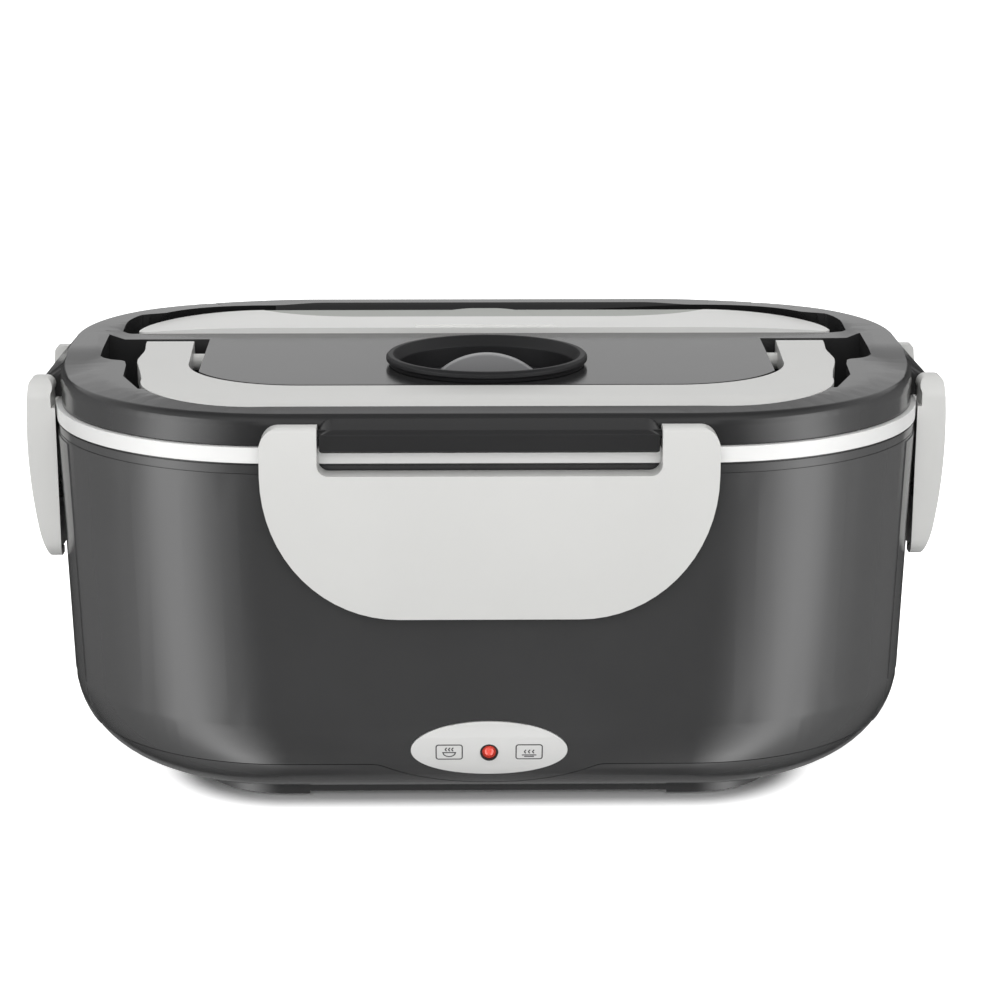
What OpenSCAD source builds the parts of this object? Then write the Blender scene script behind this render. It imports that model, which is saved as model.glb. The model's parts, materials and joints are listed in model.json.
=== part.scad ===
// Electric lunch box: a heated well with a lift-out food tray, under a lift-off lid that carries a folding
// handle, a steam valve and a cutlery case. Four snap latches hold the lid down.
// Millimetres. Origin: centre of the footprint on the table. X runs right, Y runs back, Z runs up.

/* [Body] */
// Width of the rim band, flank to flank
body_w = 221; // [217:1:240]
// Depth of the rim band, front to back
body_d = 153; // [150:1:165]
// Radius of the rim band's upright corners
corner_r = 61; // [60:0.5:64]
// Height of the outer shell's top edge
shell_top = 91.1; // [88:0.5:100]
// Thickness of the outer shell and the base cover
shell_wall = 2.4; // [1.8:0.1:3]
// How far the outer shell's top edge stands in from the rim band
rim_inset = 0.2; // [0.1:0.1:0.6]
// Inward lean of the outer shell's wall, per millimetre of height
wall_draft = 0.0285; // [0.01:0.0025:0.04]
// Radius with which the wall turns in under the body
bilge_r = 23.5; // [18:0.5:25]
// Height at which the wall starts to turn in
bilge_z = 25; // [23.5:0.5:30]
// Height of the seam between the outer shell and the base cover
seam_z = 13.8; // [12:0.2:16]
// Width of the dark line at the seam
seam_gap = 0.2; // [0.15:0.05:0.4]
// Lowest point of the shell's tongue under the badge
chin_z = 6.6; // [6:0.2:8]
// Radius of the tongue's lower edge
chin_r = 55; // [40:1:70]
// Radius where the tongue runs out into the seam
chin_blend_r = 8; // [4:1:12]
// How far the raised panels on the flanks stand proud
flank_step = 0.25; // [0.15:0.05:0.4]
// Width of the raised flank panels, front to back
flank_w = 81; // [70:1:90]
// Distance of the flank panels' top edge below the rim band
flank_drop = 3.4; // [2.5:0.1:5]
// Depth of the shadow gap under the rim band
groove_d = 0.5; // [0.2:0.1:0.8]
// Height of the shadow gap under the rim band
groove_h = 0.5; // [0.3:0.1:0.8]
// Distance of the fine trim line below the rim band
trim_drop = 2.7; // [2:0.1:3]
// Depth and height of the fine trim line
trim_line = 0.25; // [0.15:0.05:0.4]

/* [Foot pan] */
// Width of the pan under the body
pan_w = 149; // [140:1:155]
// Depth of the pan, front to back
pan_d = 115.6; // [108:0.4:118]
// Radius of the pan's corners
pan_r = 24; // [12:1:30]
// Height of the pan's underside above the table
ground_gap = 1; // [0.6:0.1:1.4]
// Height of the pan's top, where the bilge starts
pan_top = 4.5; // [4:0.25:5]
// Radius of a rubber foot
foot_r = 6; // [4:0.5:8]
// Distance of a foot's centre from the pan's flank
foot_side = 14.5; // [12:0.5:18]
// Distance of a foot's centre from the pan's front and back
foot_end = 15.8; // [14:0.2:18]
// Depth to which a foot is sunk into the pan
foot_sink = 1.5; // [1:0.1:1.8]
// Width of the shallow relief under the pan's front edge
relief_w = 90; // [70:1:95]
// Depth of that relief, front to back
relief_d = 6; // [4:0.5:8]
// Height of that relief
relief_h = 0.7; // [0.4:0.1:1]
// Distance of the cover's screws from the box's middle, sideways
screw_x = 62; // [58:1:64]
// Distance of the cover's screws from the box's middle, front to back
screw_y = 20; // [16:1:24]
// Height of the screw heads' seats
screw_seat = 4.4; // [4:0.1:5]
// Thickness of the base cover's floor
base_floor = 3; // [2.8:0.1:3.4]

/* [Well] */
// Height of the white rim band, which is the inner well's flange
band_h = 3.8; // [3:0.2:5]
// Width of the rim band seen from above
band_w = 4.4; // [4:0.2:5]
// Thickness of the inner well
well_wall = 1.6; // [1.2:0.1:2]
// Distance of the tray's step below the outer shell's top edge
step_drop = 6.1; // [5:0.1:8]
// Width of that step
step_w = 3.6; // [3:0.2:4]
// Height of the well's floor
well_floor_z = 27; // [26.5:0.5:30]
// Inward lean of the well over its height
well_taper = 3; // [2:0.5:4]
// Width of the heating plate
plate_w = 124; // [110:2:130]
// Depth of the heating plate, front to back
plate_d = 68; // [60:2:74]
// Thickness of the heating plate above the well's floor
plate_t = 0.7; // [0.5:0.1:0.9]
// Length of the heater block
block_w = 62; // [50:1:66]
// Depth of the heater block, front to back
block_d = 22; // [16:1:24]
// Height of the heater block
block_h = 6; // [5:0.5:7]
// Thickness of the strap that clips the heater block
strap_t = 0.8; // [0.6:0.1:1]
// Width of that strap
strap_w = 12; // [10:1:16]
// Radius of the thermal cut-out
cutout_r = 7; // [6:0.5:8]

/* [Food tray and side cup] */
// Thickness of the steel food tray
tray_t = 0.9; // [0.7:0.1:1.2]
// Gap between the food tray's side and the well, at the rim
tray_gap = 1.2; // [0.8:0.1:2]
// Inward lean of the food tray over its height
tray_taper = 5; // [4:0.5:6]
// Radius round the food tray's floor
tray_floor_r = 3; // [2:0.25:3]
// Distance of the side cup's flat wall from the box's middle
cup_x = 30; // [24:1:40]
// Height of the side cup
cup_h = 50; // [40:1:52]
// Thickness of the side cup
cup_wall = 1.5; // [1.2:0.1:2]
// How far the side cup stands in from the food tray's floor edge
cup_gap = 3.3; // [3.3:0.1:6]
// Thickness of the side cup's lid
cup_lid_t = 1.6; // [1.4:0.1:2]

/* [Lid] */
// Height of the lid above the rim band
lid_h = 8.4; // [8.2:0.1:10]
// Gap between the lid's skirt and the rim band
lid_gap = 0.2; // [0.2:0.1:0.4]
// How far the lid's skirt stands in from the rim band
lid_step = 1.3; // [1:0.1:1.5]
// Thickness of the lid's shell
lid_wall = 2.2; // [1.8:0.1:2.4]
// Radius round the lid's top edge
lid_edge_r = 4.4; // [3.5:0.1:4.6]
// Depth of the handle's side pockets below the deck
pocket_depth = 13.8; // [13.8:0.1:14.2]
// Thickness of the pocket and recess floors
pocket_t = 1.4; // [1.2:0.1:1.6]
// Thickness of the liner under the lid
liner_t = 0.9; // [0.8:0.1:1.2]
// Distance of the liner's screws from the box's middle, sideways
liner_screw_x = 52; // [48:1:56]

/* [Handle] */
// Distance from the flank to the handle's outer side
handle_inset = 19.4; // [18:0.2:22]
// Distance from the front to the handle's crossbar
handle_setback = 8; // [7.5:0.5:12]
// Width of the handle's arms at the pivot
arm_w = 12.7; // [11:0.1:14]
// Depth of the crossbar, front to back
bar_d = 23; // [18:0.5:24]
// Thickness of the handle
handle_t = 5.5; // [5:0.1:6]
// Outer corner radius of the handle
handle_r = 32; // [26:0.5:34]
// Inner corner radius of the handle
handle_inner_r = 30.4; // [26:0.2:32]
// Drop of the crossbar's front edge below the deck
bar_slope = 1.2; // [0.8:0.1:2]
// Distance of the handle's hinge line behind the box's middle
hinge_y = 6; // [4:0.5:7]
// Length of the handle's tail behind its hinge line
tail_l = 9; // [8:0.1:9]
// Radius of the tail's corners
tail_r = 2.5; // [1:0.1:2.5]
// Radius of the handle's hinge stubs
stub_r = 2.2; // [1.8:0.1:2.4]

/* [Steam valve] */
// Distance of the valve's centre in front of the box's middle
valve_y = 18.5; // [17:0.5:20]
// Radius of the collar where it meets the deck
collar_r = 25; // [23:0.5:25.5]
// Radius of the collar's rim
rim_r = 25.8; // [25.6:0.1:26.6]
// Height of the collar above the deck
collar_h = 2.9; // [2.6:0.1:3.4]
// Radius of the bowl inside the collar
bowl_r = 22.5; // [20.5:0.25:23]
// Height of the bowl's floor below the deck
bowl_depth = 6.5; // [6:0.25:7]
// Radius of the grip's arc
grip_r = 18.5; // [17:0.5:19.5]
// Height of the grip's top above the deck
grip_rise = 2.7; // [2:0.1:3.2]
// Thickness of the grip
grip_t = 3; // [2:0.2:4]
// Radius of the valve's stem
stem_r = 4; // [3:0.25:5]

/* [Cutlery case] */
// Width of the case
case_w = 189.6; // [180:0.4:191]
// Distance of the case's front wall behind the box's middle
case_front_y = 24.2; // [24:0.1:25]
// Distance from the back of the rim band to the case's back wall
case_back = 15.9; // [15.5:0.1:18]
// Radius of the case's back corners
case_r = 33; // [28:1:36]
// Height of the case's front edge above the deck
case_rise = 1.5; // [1:0.1:2]
// Fall of the case's top from front to back
case_fall = 1.5; // [1:0.1:2]
// Thickness of the case's walls
case_wall = 1.5; // [1.2:0.1:1.8]
// Height of the case's lower half
case_split = 4.3; // [4:0.1:4.6]
// Gap between the case and its recess, at the sides
recess_side = 4; // [3.5:0.1:5]
// Gap between the case and its recess, at the back
recess_back = 8.6; // [6:0.1:8.8]
// Depth of the recess below the deck
recess_depth = 10.1; // [10:0.1:10.4]
// Radius of the recess's back corners
recess_r = 38; // [34:1:40]
// Radius of the case's front corners
case_front_r = 3; // [1.5:0.1:3.2]
// Radius of the finger scoop's ends
scoop_r = 35; // [28:1:36]
// Distance of the scoop's front lip behind the case's front wall
scoop_y = 22.2; // [20:0.2:25]
// Depth of the scoop at its lip
scoop_deep = 1.2; // [0.8:0.1:1.3]
// Fall of the scoop's floor from its lip to the back
scoop_fall = 2.3; // [2:0.1:2.6]
// Radius of the finger tab in the scoop
tab_r = 13.2; // [11:0.2:15]
// Width of the raised pad in front of the scoop
pad_w = 38.2; // [30:0.2:44]
// Depth of that pad, front to back
pad_d = 15.2; // [12:0.2:17]
// Height of that pad
pad_h = 0.4; // [0.3:0.05:0.6]
// Length of the spoon's and the fork's stems
stem_l = 110; // [104:1:112]
// Half-width of the cutlery's stems
stem_half = 2.5; // [2:0.25:3]
// Thickness of the cutlery's steel
cutlery_t = 1.2; // [1:0.1:1.4]

/* [Latches] */
// Half-width of the front and rear latches
latch_half = 53.9; // [50:0.1:56]
// Half-width of the front and rear lugs between the arms
lug_half = 39.9; // [38:0.1:42]
// Half-width of the side latches
side_latch_half = 27; // [25:0.5:28]
// Half-width of the side lugs
side_lug_half = 18.4; // [17:0.1:19]
// Height of the front latch's lower edge
latch_low_z = 53.5; // [50:0.5:60]
// Height of the side latches' lower edge
side_latch_low_z = 52.7; // [50:0.1:60]
// Width of the front latch's lower corner curve
latch_rx = 32.2; // [20:0.2:36]
// Height of the front latch's lower corner curve
latch_ry = 36; // [24:0.5:36]
// Lower corner radius of the side latches
side_latch_r = 10; // [8:0.5:12]
// Upper corner radius of the latches
latch_top_r = 5.2; // [4:0.2:6]
// Thickness of a latch's skin
latch_skin = 1.9; // [1.6:0.1:2.1]
// Bulge radius of a latch's outer face
latch_bulge_r = 143; // [120:1:170]
// Height at which the latches bulge most
latch_bulge_z = 86; // [80:1:88]
// How far a latch's outer face stands out from the rim band
latch_out = 6.9; // [6.7:0.1:7.4]
// Radius round the latches' upper outer edge
latch_edge_r = 1.6; // [1:0.1:2]
// Gap between a latch's inner edges and the rim band
latch_gap = 0.5; // [0.4:0.05:0.7]
// Gap between a latch's arm and the lug beside it
arm_gap = 0.5; // [0.3:0.05:0.7]
// Radius of the corners of the slot that takes the lug
slot_r = 2.6; // [1.5:0.1:3]
// Radius of a latch's knuckle, round its pin
knuckle_r = 2.3; // [2.2:0.05:2.4]
// Distance of the latch pins' axis from the rim band
pin_out = 2.4; // [2.3:0.05:2.5]
// Height of the latch pins below the deck
pin_drop = 4.7; // [4.5:0.1:4.9]
// Radius of a latch pin
pin_r = 1.1; // [1:0.05:1.2]
// How far the lugs stand out from the rim band
lug_out = 4.4; // [4.3:0.1:4.8]
// Height of the latches' catch ledges
ledge_top = 70; // [66:0.5:74]
// Thickness of the catch ledges
ledge_h = 2.5; // [2:0.1:3]
// Depth of the catch ledges, out from the rim band's plane
ledge_d = 1.6; // [1.4:0.1:1.6]
// Height of the rib that hooks under a catch ledge
hook_h = 2.7; // [2:0.1:3]

/* [Badge and indicator] */
// Half-width of the oval badge
badge_half_w = 19.2; // [16:0.2:22]
// Half-height of the oval badge
badge_half_h = 7.8; // [6:0.2:8.4]
// Height of the badge's centre
badge_z = 18.2; // [17:0.2:19]
// Depth of the badge's seat in the shell
badge_seat = 0.8; // [0.6:0.1:1]
// How far the badge stands proud
badge_proud = 0.3; // [0.2:0.1:0.5]
// Height of the indicator lamp
lamp_z = 17.6; // [17:0.2:19]
// Outer radius of the lamp's black ring
lamp_r = 2.2; // [2:0.1:3]
// Distance of the lamp's tip behind the rim band's front plane
lamp_inset = 3; // [2.6:0.1:3.4]
// Distance of the lamp's board behind the rim band's front plane
board_inset = 14; // [12:0.5:18]

/* [Inlet] */
// Width of the power inlet's mouth
inlet_w = 16; // [14:0.5:20]
// Height of the power inlet's mouth
inlet_h = 8; // [7:0.25:8.5]
// Depth of the power inlet's mouth
inlet_depth = 15; // [12:0.5:18]
// Height of the inlet's centre
inlet_z = 15.6; // [15:0.2:16]
// Distance between the inlet's two pins
inlet_pitch = 8; // [6:0.5:9]
// Wall of the inlet's housing
inlet_wall = 1.8; // [1.4:0.1:2]
// Distance of the inlet's face in front of the rim band's back plane
inlet_inset = 7.5; // [7:0.5:9]

/* [Clearances] */
// Running clearance of pins and stubs in their holes, on the radius
run_gap = 0.05; // [0.03:0.01:0.08]
// Gap between pieces that lift apart
lift_gap = 0.3; // [0.25:0.05:0.4]
// Gap round an insert that is fitted once
fit_gap = 0.15; // [0.1:0.05:0.2]

/* [Hidden] */
$fn = 96;

eps = 0.02;
half_w = body_w / 2;
half_d = body_d / 2;
cx = half_w - corner_r;
cy = half_d - corner_r;

draft_angle = atan(wall_draft);
bilge_x = corner_r - rim_inset - wall_draft * (shell_top - bilge_z);

band_top = shell_top + band_h;
step_z = shell_top - step_drop;
well_rim_r = corner_r - band_w;
well_top_r = well_rim_r - step_w;
well_floor_r = well_top_r - well_taper;
well_under = well_floor_z - well_wall;

tray_floor_z = well_floor_z + 1;
tray_rim_r = well_rim_r - 0.4;
tray_top_r = well_top_r - tray_gap;
tray_bottom_r = tray_top_r - tray_taper;
tray_top = step_z + tray_t;
tray_rise = step_z - tray_floor_z;

cup_z = tray_floor_z + tray_t + lift_gap;
cup_r = tray_bottom_r - cup_gap;
cup_top = cup_z + cup_h;
cup_plug_h = 5;
cup_corner = 10;

lid_z = band_top + lid_gap;
deck_z = lid_z + lid_h;
skirt_r = corner_r - lid_step;
skirt_in_r = skirt_r - lid_wall;
deck_under = deck_z - lid_wall;
pocket_z = deck_z - pocket_depth;
recess_z = deck_z - recess_depth;
liner_z = pocket_z - pocket_t - liner_t - 0.05;
seal_t = liner_z - tray_top - lift_gap;
liner_r = well_rim_r - lift_gap - 0.1;
liner_wall = 1.5;
seal_z = liner_z - seal_t;
tub_r = liner_r - liner_wall - lift_gap;
tub_step_z = lid_z + 1.6;

handle_half = half_w - handle_inset;
handle_z = deck_z - handle_t;
island_half = handle_half - arm_w - 4.1;
hinge_z = handle_z + 1.2;
bar_front = -(half_d - handle_setback);
pocket_back = hinge_y + tail_l + 0.7;

pin_z = deck_z - pin_drop;
latch_top = pin_z + knuckle_r;
lug_low = pin_z - 4.2;
lug_top = deck_z - 1.4;
lug_root = lid_step + 1.4;
slot_low = lug_low - 5;
hook_top = ledge_top - ledge_h - lift_gap;
ledge_half = lug_half - 8;
side_ledge_half = side_lug_half - 4;

case_half = case_w / 2;
case_back_y = half_d - case_back;
case_z = recess_z + lift_gap;
case_split_z = case_z + case_split;
case_top = deck_z + case_rise;
scoop_lip = case_front_y + scoop_y;
tab_y = scoop_lip + 1.5;
cutlery_z = case_z + case_wall + lift_gap;
spoon_y = case_front_y + 12.4;
fork_y = case_front_y + 24.8;
spoon_x = -(case_half - 16.8);
fork_x = case_half - 18.8;
recess_half = case_half + recess_side;
recess_back_y = case_back_y + recess_back;
recess_front_y = case_front_y - lift_gap;

bowl_z = deck_z - bowl_depth;
grip_top = deck_z + grip_rise;

boss_low = ground_gap + base_floor + 3;
foot_x = pan_w / 2 - foot_side;
foot_y = pan_d / 2 - foot_end;
plate_hx = plate_w / 2;
plate_hy = plate_d / 2;
plate_under = well_under - 0.6;
clip_screw_x = block_w / 2 + 7;
clip_half = clip_screw_x + 6;
liner_screw_y = [6, -30];
lamp_front = -(half_d - lamp_inset);
board_y = -(half_d - board_inset);
inlet_back = half_d - inlet_inset - inlet_depth;

shell_color = [0.25, 0.25, 0.26];
light_color = [0.84, 0.84, 0.83];
white_color = [0.94, 0.94, 0.93];
black_color = [0.06, 0.06, 0.06];
steel_color = [0.72, 0.73, 0.74];

// ---- shared shapes ----

// Carries a profile (x outwards from the corner axis, y up) round the rounded rectangle of corner axes
module sweep() {
    for (sx = [0, 1]) mirror([sx, 0, 0]) {
        translate([cx, cy, 0]) rotate([90, 0, 0]) linear_extrude(2 * cy) children();
        for (sy = [0, 1]) mirror([0, sy, 0]) translate([cx, cy, 0]) rotate_extrude(angle = 90) children();
    }
    for (sy = [0, 1]) mirror([0, sy, 0])
        translate([-cx, cy, 0]) rotate([90, 0, 90]) linear_extrude(2 * cx) children();
}

// The same, with the middle filled between two heights
module filled(z0, z1) {
    sweep() children();
    translate([-cx, -cy, z0]) cube([2 * cx, 2 * cy, z1 - z0]);
}

// Rounded rectangle from its half sizes and corner radius
module round_rect(hx, hy, r) {
    square([2 * hx, 2 * (hy - r)], center = true);
    square([2 * (hx - r), 2 * hy], center = true);
    for (sx = [-1, 1], sy = [-1, 1]) translate([sx * (hx - r), sy * (hy - r)]) circle(r);
}

// The same outline as the body's plan, at a given corner radius
module plan(r) {
    round_rect(cx + r, cy + r, r);
}

// Pieces on both sides of the box
module both_sides() {
    for (sx = [0, 1]) mirror([sx, 0, 0]) children();
}

// One copy in each quarter of the plan
module four_corners(x, y) {
    for (sx = [-1, 1], sy = [-1, 1]) translate([sx * x, sy * y, 0]) children();
}

// Section of the body out from the corner axis: the leaning wall, then the bilge curve below it
module body_section(skin, z0, z1) {
    over = shell_top + 10;
    start = [bilge_x - skin * cos(draft_angle), bilge_z + skin * sin(draft_angle)];
    centre = [bilge_x - bilge_r * cos(draft_angle), bilge_z + bilge_r * sin(draft_angle)];
    intersection() {
        translate([0, z0]) square([corner_r + 10, z1 - z0]);
        union() {
            polygon([[0, start.y], start, [start.x + wall_draft * (over - start.y), over], [0, over]]);
            square([centre.x, start.y]);
            intersection() {
                translate(centre) circle(bilge_r - skin);
                translate([centre.x, 0]) square([bilge_r, start.y]);
            }
        }
    }
}

// Solid body form, set in by the skin
module body_solid(skin, z0, z1) {
    filled(z0, z1) body_section(skin, z0, z1);
}

// ---- base ----

// Points on an arc, from one angle to another
function arc_points(centre, r, from, to, steps) =
    [for (i = [0:steps]) centre + r * [cos(from + (to - from) * i / steps), sin(from + (to - from) * i / steps)]];

// Front view of the tongue that dips below the seam, grown by the gap: an arc that runs out into the seam
module chin_2d(gap) {
    centre = [0, chin_z + chin_r];
    blend_y = seam_z - chin_blend_r;
    turn = acos((centre.y - blend_y) / (chin_r + chin_blend_r));
    blend_x = (chin_r + chin_blend_r) * sin(turn);
    polygon(concat(
        [[-blend_x, seam_z + 2]],
        arc_points([-blend_x, blend_y], chin_blend_r - gap, 90, 90 - turn, 6),
        arc_points(centre, chin_r + gap, 270 - turn, 270 + turn, 24),
        arc_points([blend_x, blend_y], chin_blend_r - gap, 90 + turn, 90, 6),
        [[blend_x, seam_z + 2]]
    ));
}

// The tongue's block, at the front and at the back
module chins(gap) {
    for (s = [0, 1]) mirror([0, s, 0])
        translate([0, -cy, 0]) rotate([90, 0, 0]) linear_extrude(corner_r + 5) chin_2d(gap);
}

// Catch ledges under which the latches hook
module ledges() {
    for (s = [-1, 1]) {
        translate([-ledge_half, s < 0 ? -half_d - ledge_d : half_d - 2.2, ledge_top - ledge_h])
            cube([2 * ledge_half, ledge_d + 2.2, ledge_h]);
        translate([s < 0 ? -half_w - ledge_d : half_w - 2.2, -side_ledge_half, ledge_top - ledge_h])
            cube([ledge_d + 2.2, 2 * side_ledge_half, ledge_h]);
    }
}

// Keeps what lies within the flank panels, front to back
module flank_slab(z0, z1) {
    intersection() {
        children();
        translate([-200, -flank_w / 2, z0]) cube([400, flank_w, z1 - z0]);
    }
}

// Oval outline of the badge, grown by g, seen from the front
module badge_2d(g) {
    polygon([for (i = [0:5:355]) [(badge_half_w + g) * cos(i), (badge_half_h + g) * sin(i)]]);
}

// Space that the inlet's housing takes in the back wall
module inlet_block(g, y0, y1) {
    rim = inlet_wall + g;
    translate([-inlet_w / 2 - rim, y0, inlet_z - inlet_h / 2 - rim])
        cube([inlet_w + 2 * rim, y1 - y0, inlet_h + 2 * rim]);
}

module outer_shell() {
    color(shell_color) difference() {
        union() {
            body_solid(0, seam_z, shell_top);
            flank_slab(seam_z, shell_top - flank_drop) body_solid(-flank_step, seam_z, shell_top);
            intersection() {
                body_solid(0, pan_top, seam_z + 1.5);
                chins(0);
            }
            ledges();
        }
        body_solid(shell_wall, pan_top - 1, shell_top + 1);
        translate([0, 0, shell_top - groove_h]) sweep()
            translate([corner_r - rim_inset - groove_d, 0]) square([4, groove_h + 1]);
        translate([0, 0, shell_top - trim_drop]) sweep()
            translate([corner_r - rim_inset - 0.07 - trim_line, 0]) square([4, trim_line]);
        badge_pocket(fit_gap);
        translate([0, -cy, lamp_z]) rotate([90, 0, 0]) cylinder(r = lamp_r + 0.1, h = corner_r + 5);
        inlet_block(fit_gap, cy, half_d + 5);
    }
}

// Slice of the front wall that the badge fills
module badge_pocket(g) {
    intersection() {
        translate([0, -cy, badge_z]) rotate([90, 0, 0]) linear_extrude(corner_r + 5) badge_2d(g);
        difference() {
            body_solid(-badge_proud, pan_top, shell_top);
            body_solid(badge_seat, pan_top - 1, shell_top + 1);
        }
    }
}

module base_cover() {
    lip_t = 1.6;
    lip_h = 3.2;
    post_r = 6;
    color(shell_color) difference() {
        union() {
            difference() {
                body_solid(0, pan_top, seam_z - seam_gap);
                chins(seam_gap);
            }
            body_solid(shell_wall + fit_gap, pan_top, seam_z + lip_h);
            translate([0, 0, ground_gap]) linear_extrude(pan_top - ground_gap)
                round_rect(pan_w / 2, pan_d / 2, pan_r);
        }
        difference() {
            union() {
                body_solid(shell_wall + lip_t, pan_top + shell_wall, seam_z + lip_h + 1);
                translate([0, 0, ground_gap + base_floor]) linear_extrude(pan_top + shell_wall)
                    round_rect(pan_w / 2 - shell_wall, pan_d / 2 - shell_wall, pan_r - shell_wall);
            }
            four_corners(screw_x, screw_y) translate([0, 0, ground_gap]) cylinder(r = post_r, h = base_floor + 3);
            lamp_posts();
        }
        four_corners(foot_x, foot_y) translate([0, 0, ground_gap - 1])
            cylinder(r = foot_r + 0.1, h = foot_sink + 1);
        four_corners(screw_x, screw_y) {
            cylinder(r = 1.5, h = 20);
            cylinder(r = 3.4, h = screw_seat);
        }
        translate([-relief_w / 2, -pan_d / 2 - 1, ground_gap - 1]) cube([relief_w, relief_d + 1, relief_h + 1]);
        badge_pocket(fit_gap);
        translate([0, -cy, lamp_z]) rotate([90, 0, 0]) cylinder(r = lamp_r + 0.1, h = corner_r + 5);
        inlet_block(fit_gap, cy - 5, half_d + 5);
    }
}

module rubber_feet() {
    color(black_color) four_corners(foot_x, foot_y)
        cylinder(r = foot_r, h = ground_gap + foot_sink);
}

module base_screws() {
    color(steel_color) four_corners(screw_x, screw_y) {
        difference() {
            translate([0, 0, screw_seat - 2.2]) cylinder(r = 3, h = 2.2);
            translate([0, 0, screw_seat - 3]) cylinder(r = 1.4, h = 2, $fn = 6);
        }
        translate([0, 0, screw_seat]) cylinder(r = 1.45, h = 12);
    }
}

// ---- well and heater ----

module inner_well() {
    outer_top_r = corner_r - rim_inset - shell_wall - 0.2;
    color(white_color) difference() {
        union() {
            filled(well_under, band_top) polygon([
                [0, well_under], [well_floor_r + well_wall, well_under],
                [well_top_r + well_wall, step_z - well_wall], [outer_top_r, step_z - well_wall],
                [outer_top_r, shell_top], [corner_r, shell_top], [corner_r, band_top], [0, band_top]
            ]);
            four_corners(screw_x, screw_y) translate([0, 0, boss_low]) cylinder(r = 4, h = well_under - boss_low + 1);
        }
        filled(well_floor_z, band_top + 1) polygon([
            [0, well_floor_z], [well_floor_r, well_floor_z], [well_top_r, step_z],
            [well_rim_r, step_z], [well_rim_r, band_top + 1], [0, band_top + 1]
        ]);
        four_corners(screw_x, screw_y) cylinder(r = 1.45, h = screw_seat + 12.5);
        translate([0, 0, well_under - 1]) linear_extrude(4) round_rect(plate_hx - 5.8, plate_hy - 5.8, 8);
    }
}

module heating_plate() {
    color(steel_color) {
        translate([0, 0, well_floor_z]) linear_extrude(plate_t) round_rect(plate_hx, plate_hy, 14);
        difference() {
            translate([0, 0, plate_under]) linear_extrude(well_floor_z - plate_under)
                round_rect(plate_hx - 6, plate_hy - 6, 8);
            for (s = [-1, 1]) translate([s * clip_screw_x, 0, 0]) cylinder(r = 1.2, h = well_floor_z - 0.5);
        }
    }
}

module heater_block() {
    color("saddlebrown") translate([-block_w / 2, -block_d / 2, plate_under - block_h])
        cube([block_w, block_d, block_h]);
}

// Spring strap that presses the heater block against the plate
module heater_clip() {
    side = block_w / 2 + 0.2;
    color(steel_color) difference() {
        translate([0, strap_w / 2, 0]) rotate([90, 0, 0]) linear_extrude(strap_w) difference() {
            translate([0, plate_under - block_h - strap_t]) polygon([
                [-side - strap_t, 0], [side + strap_t, 0], [side + strap_t, block_h], [clip_half, block_h],
                [clip_half, block_h + strap_t], [-clip_half, block_h + strap_t], [-clip_half, block_h],
                [-side - strap_t, block_h]
            ]);
            translate([-side, plate_under - block_h]) square([2 * side, block_h + 1]);
        }
        for (s = [-1, 1]) translate([s * clip_screw_x, 0, 0]) cylinder(r = 1.3, h = plate_under + 2);
    }
}

module heater_screws() {
    head = plate_under - strap_t;
    color(steel_color) for (s = [-1, 1]) translate([s * clip_screw_x, 0, 0]) {
        translate([0, 0, head - 1.6]) cylinder(r = 2.2, h = 1.6);
        translate([0, 0, head]) cylinder(r = 1.15, h = strap_t + 1.4);
    }
}

module thermal_cutout() {
    color(black_color) translate([0, block_d / 2 + cutout_r + 1.5, 0]) {
        translate([0, 0, plate_under - 4]) cylinder(r = cutout_r, h = 4);
        for (s = [-1, 1]) translate([s * (cutout_r - 1) - 3, -1.5, plate_under - 5]) cube([6, 3, 1]);
    }
}

// ---- inlet, badge and lamp ----

module power_inlet() {
    color(black_color) difference() {
        intersection() {
            inlet_block(0, inlet_back, half_d + 5);
            body_solid(0.1, pan_top, shell_top);
        }
        translate([-inlet_w / 2, inlet_back + 2, inlet_z - inlet_h / 2]) cube([inlet_w, 60, inlet_h]);
        for (s = [-1, 1]) translate([s * inlet_pitch / 2, inlet_back - 1, inlet_z]) rotate([-90, 0, 0])
            cylinder(r = 1.1, h = 4);
    }
}

module inlet_pins() {
    color("goldenrod") for (s = [-1, 1]) translate([s * inlet_pitch / 2, inlet_back - 5, inlet_z])
        rotate([-90, 0, 0]) cylinder(r = 1.1, h = inlet_depth);
}

module panel_badge() {
    color(light_color) difference() {
        badge_pocket(0);
        translate([0, -cy, lamp_z]) rotate([90, 0, 0]) cylinder(r = lamp_r + 0.05, h = corner_r + 5);
    }
}

module lamp_ring() {
    color(black_color) translate([0, board_y, lamp_z]) rotate([90, 0, 0]) difference() {
        cylinder(r = lamp_r, h = board_y - lamp_front);
        translate([0, 0, -1]) cylinder(r = lamp_r - 0.45, h = 40);
    }
}

module lamp_lens() {
    color("red") translate([0, board_y, lamp_z]) rotate([90, 0, 0]) {
        cylinder(r = lamp_r - 0.5, h = board_y - lamp_front - 0.8);
        translate([0, 0, board_y - lamp_front - 1.9]) intersection() {
            sphere(r = lamp_r - 0.3);
            cylinder(r = lamp_r - 0.5, h = 4);
        }
    }
}

module lamp_board() {
    color("darkgreen") translate([-12, board_y, lamp_z - 7]) cube([24, 1.6, 13]);
}

// Two slotted posts on the base cover's floor that hold the lamp's board
module lamp_posts() {
    for (s = [-1, 1]) translate([s * 10 - 1.5, board_y - 1.4, ground_gap]) difference() {
        cube([3, 4.4, lamp_z - ground_gap - 1]);
        translate([-1, 1.4, lamp_z - 7 - ground_gap]) cube([5, 1.6, 20]);
    }
}

// ---- food tray, side cup ----

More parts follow.
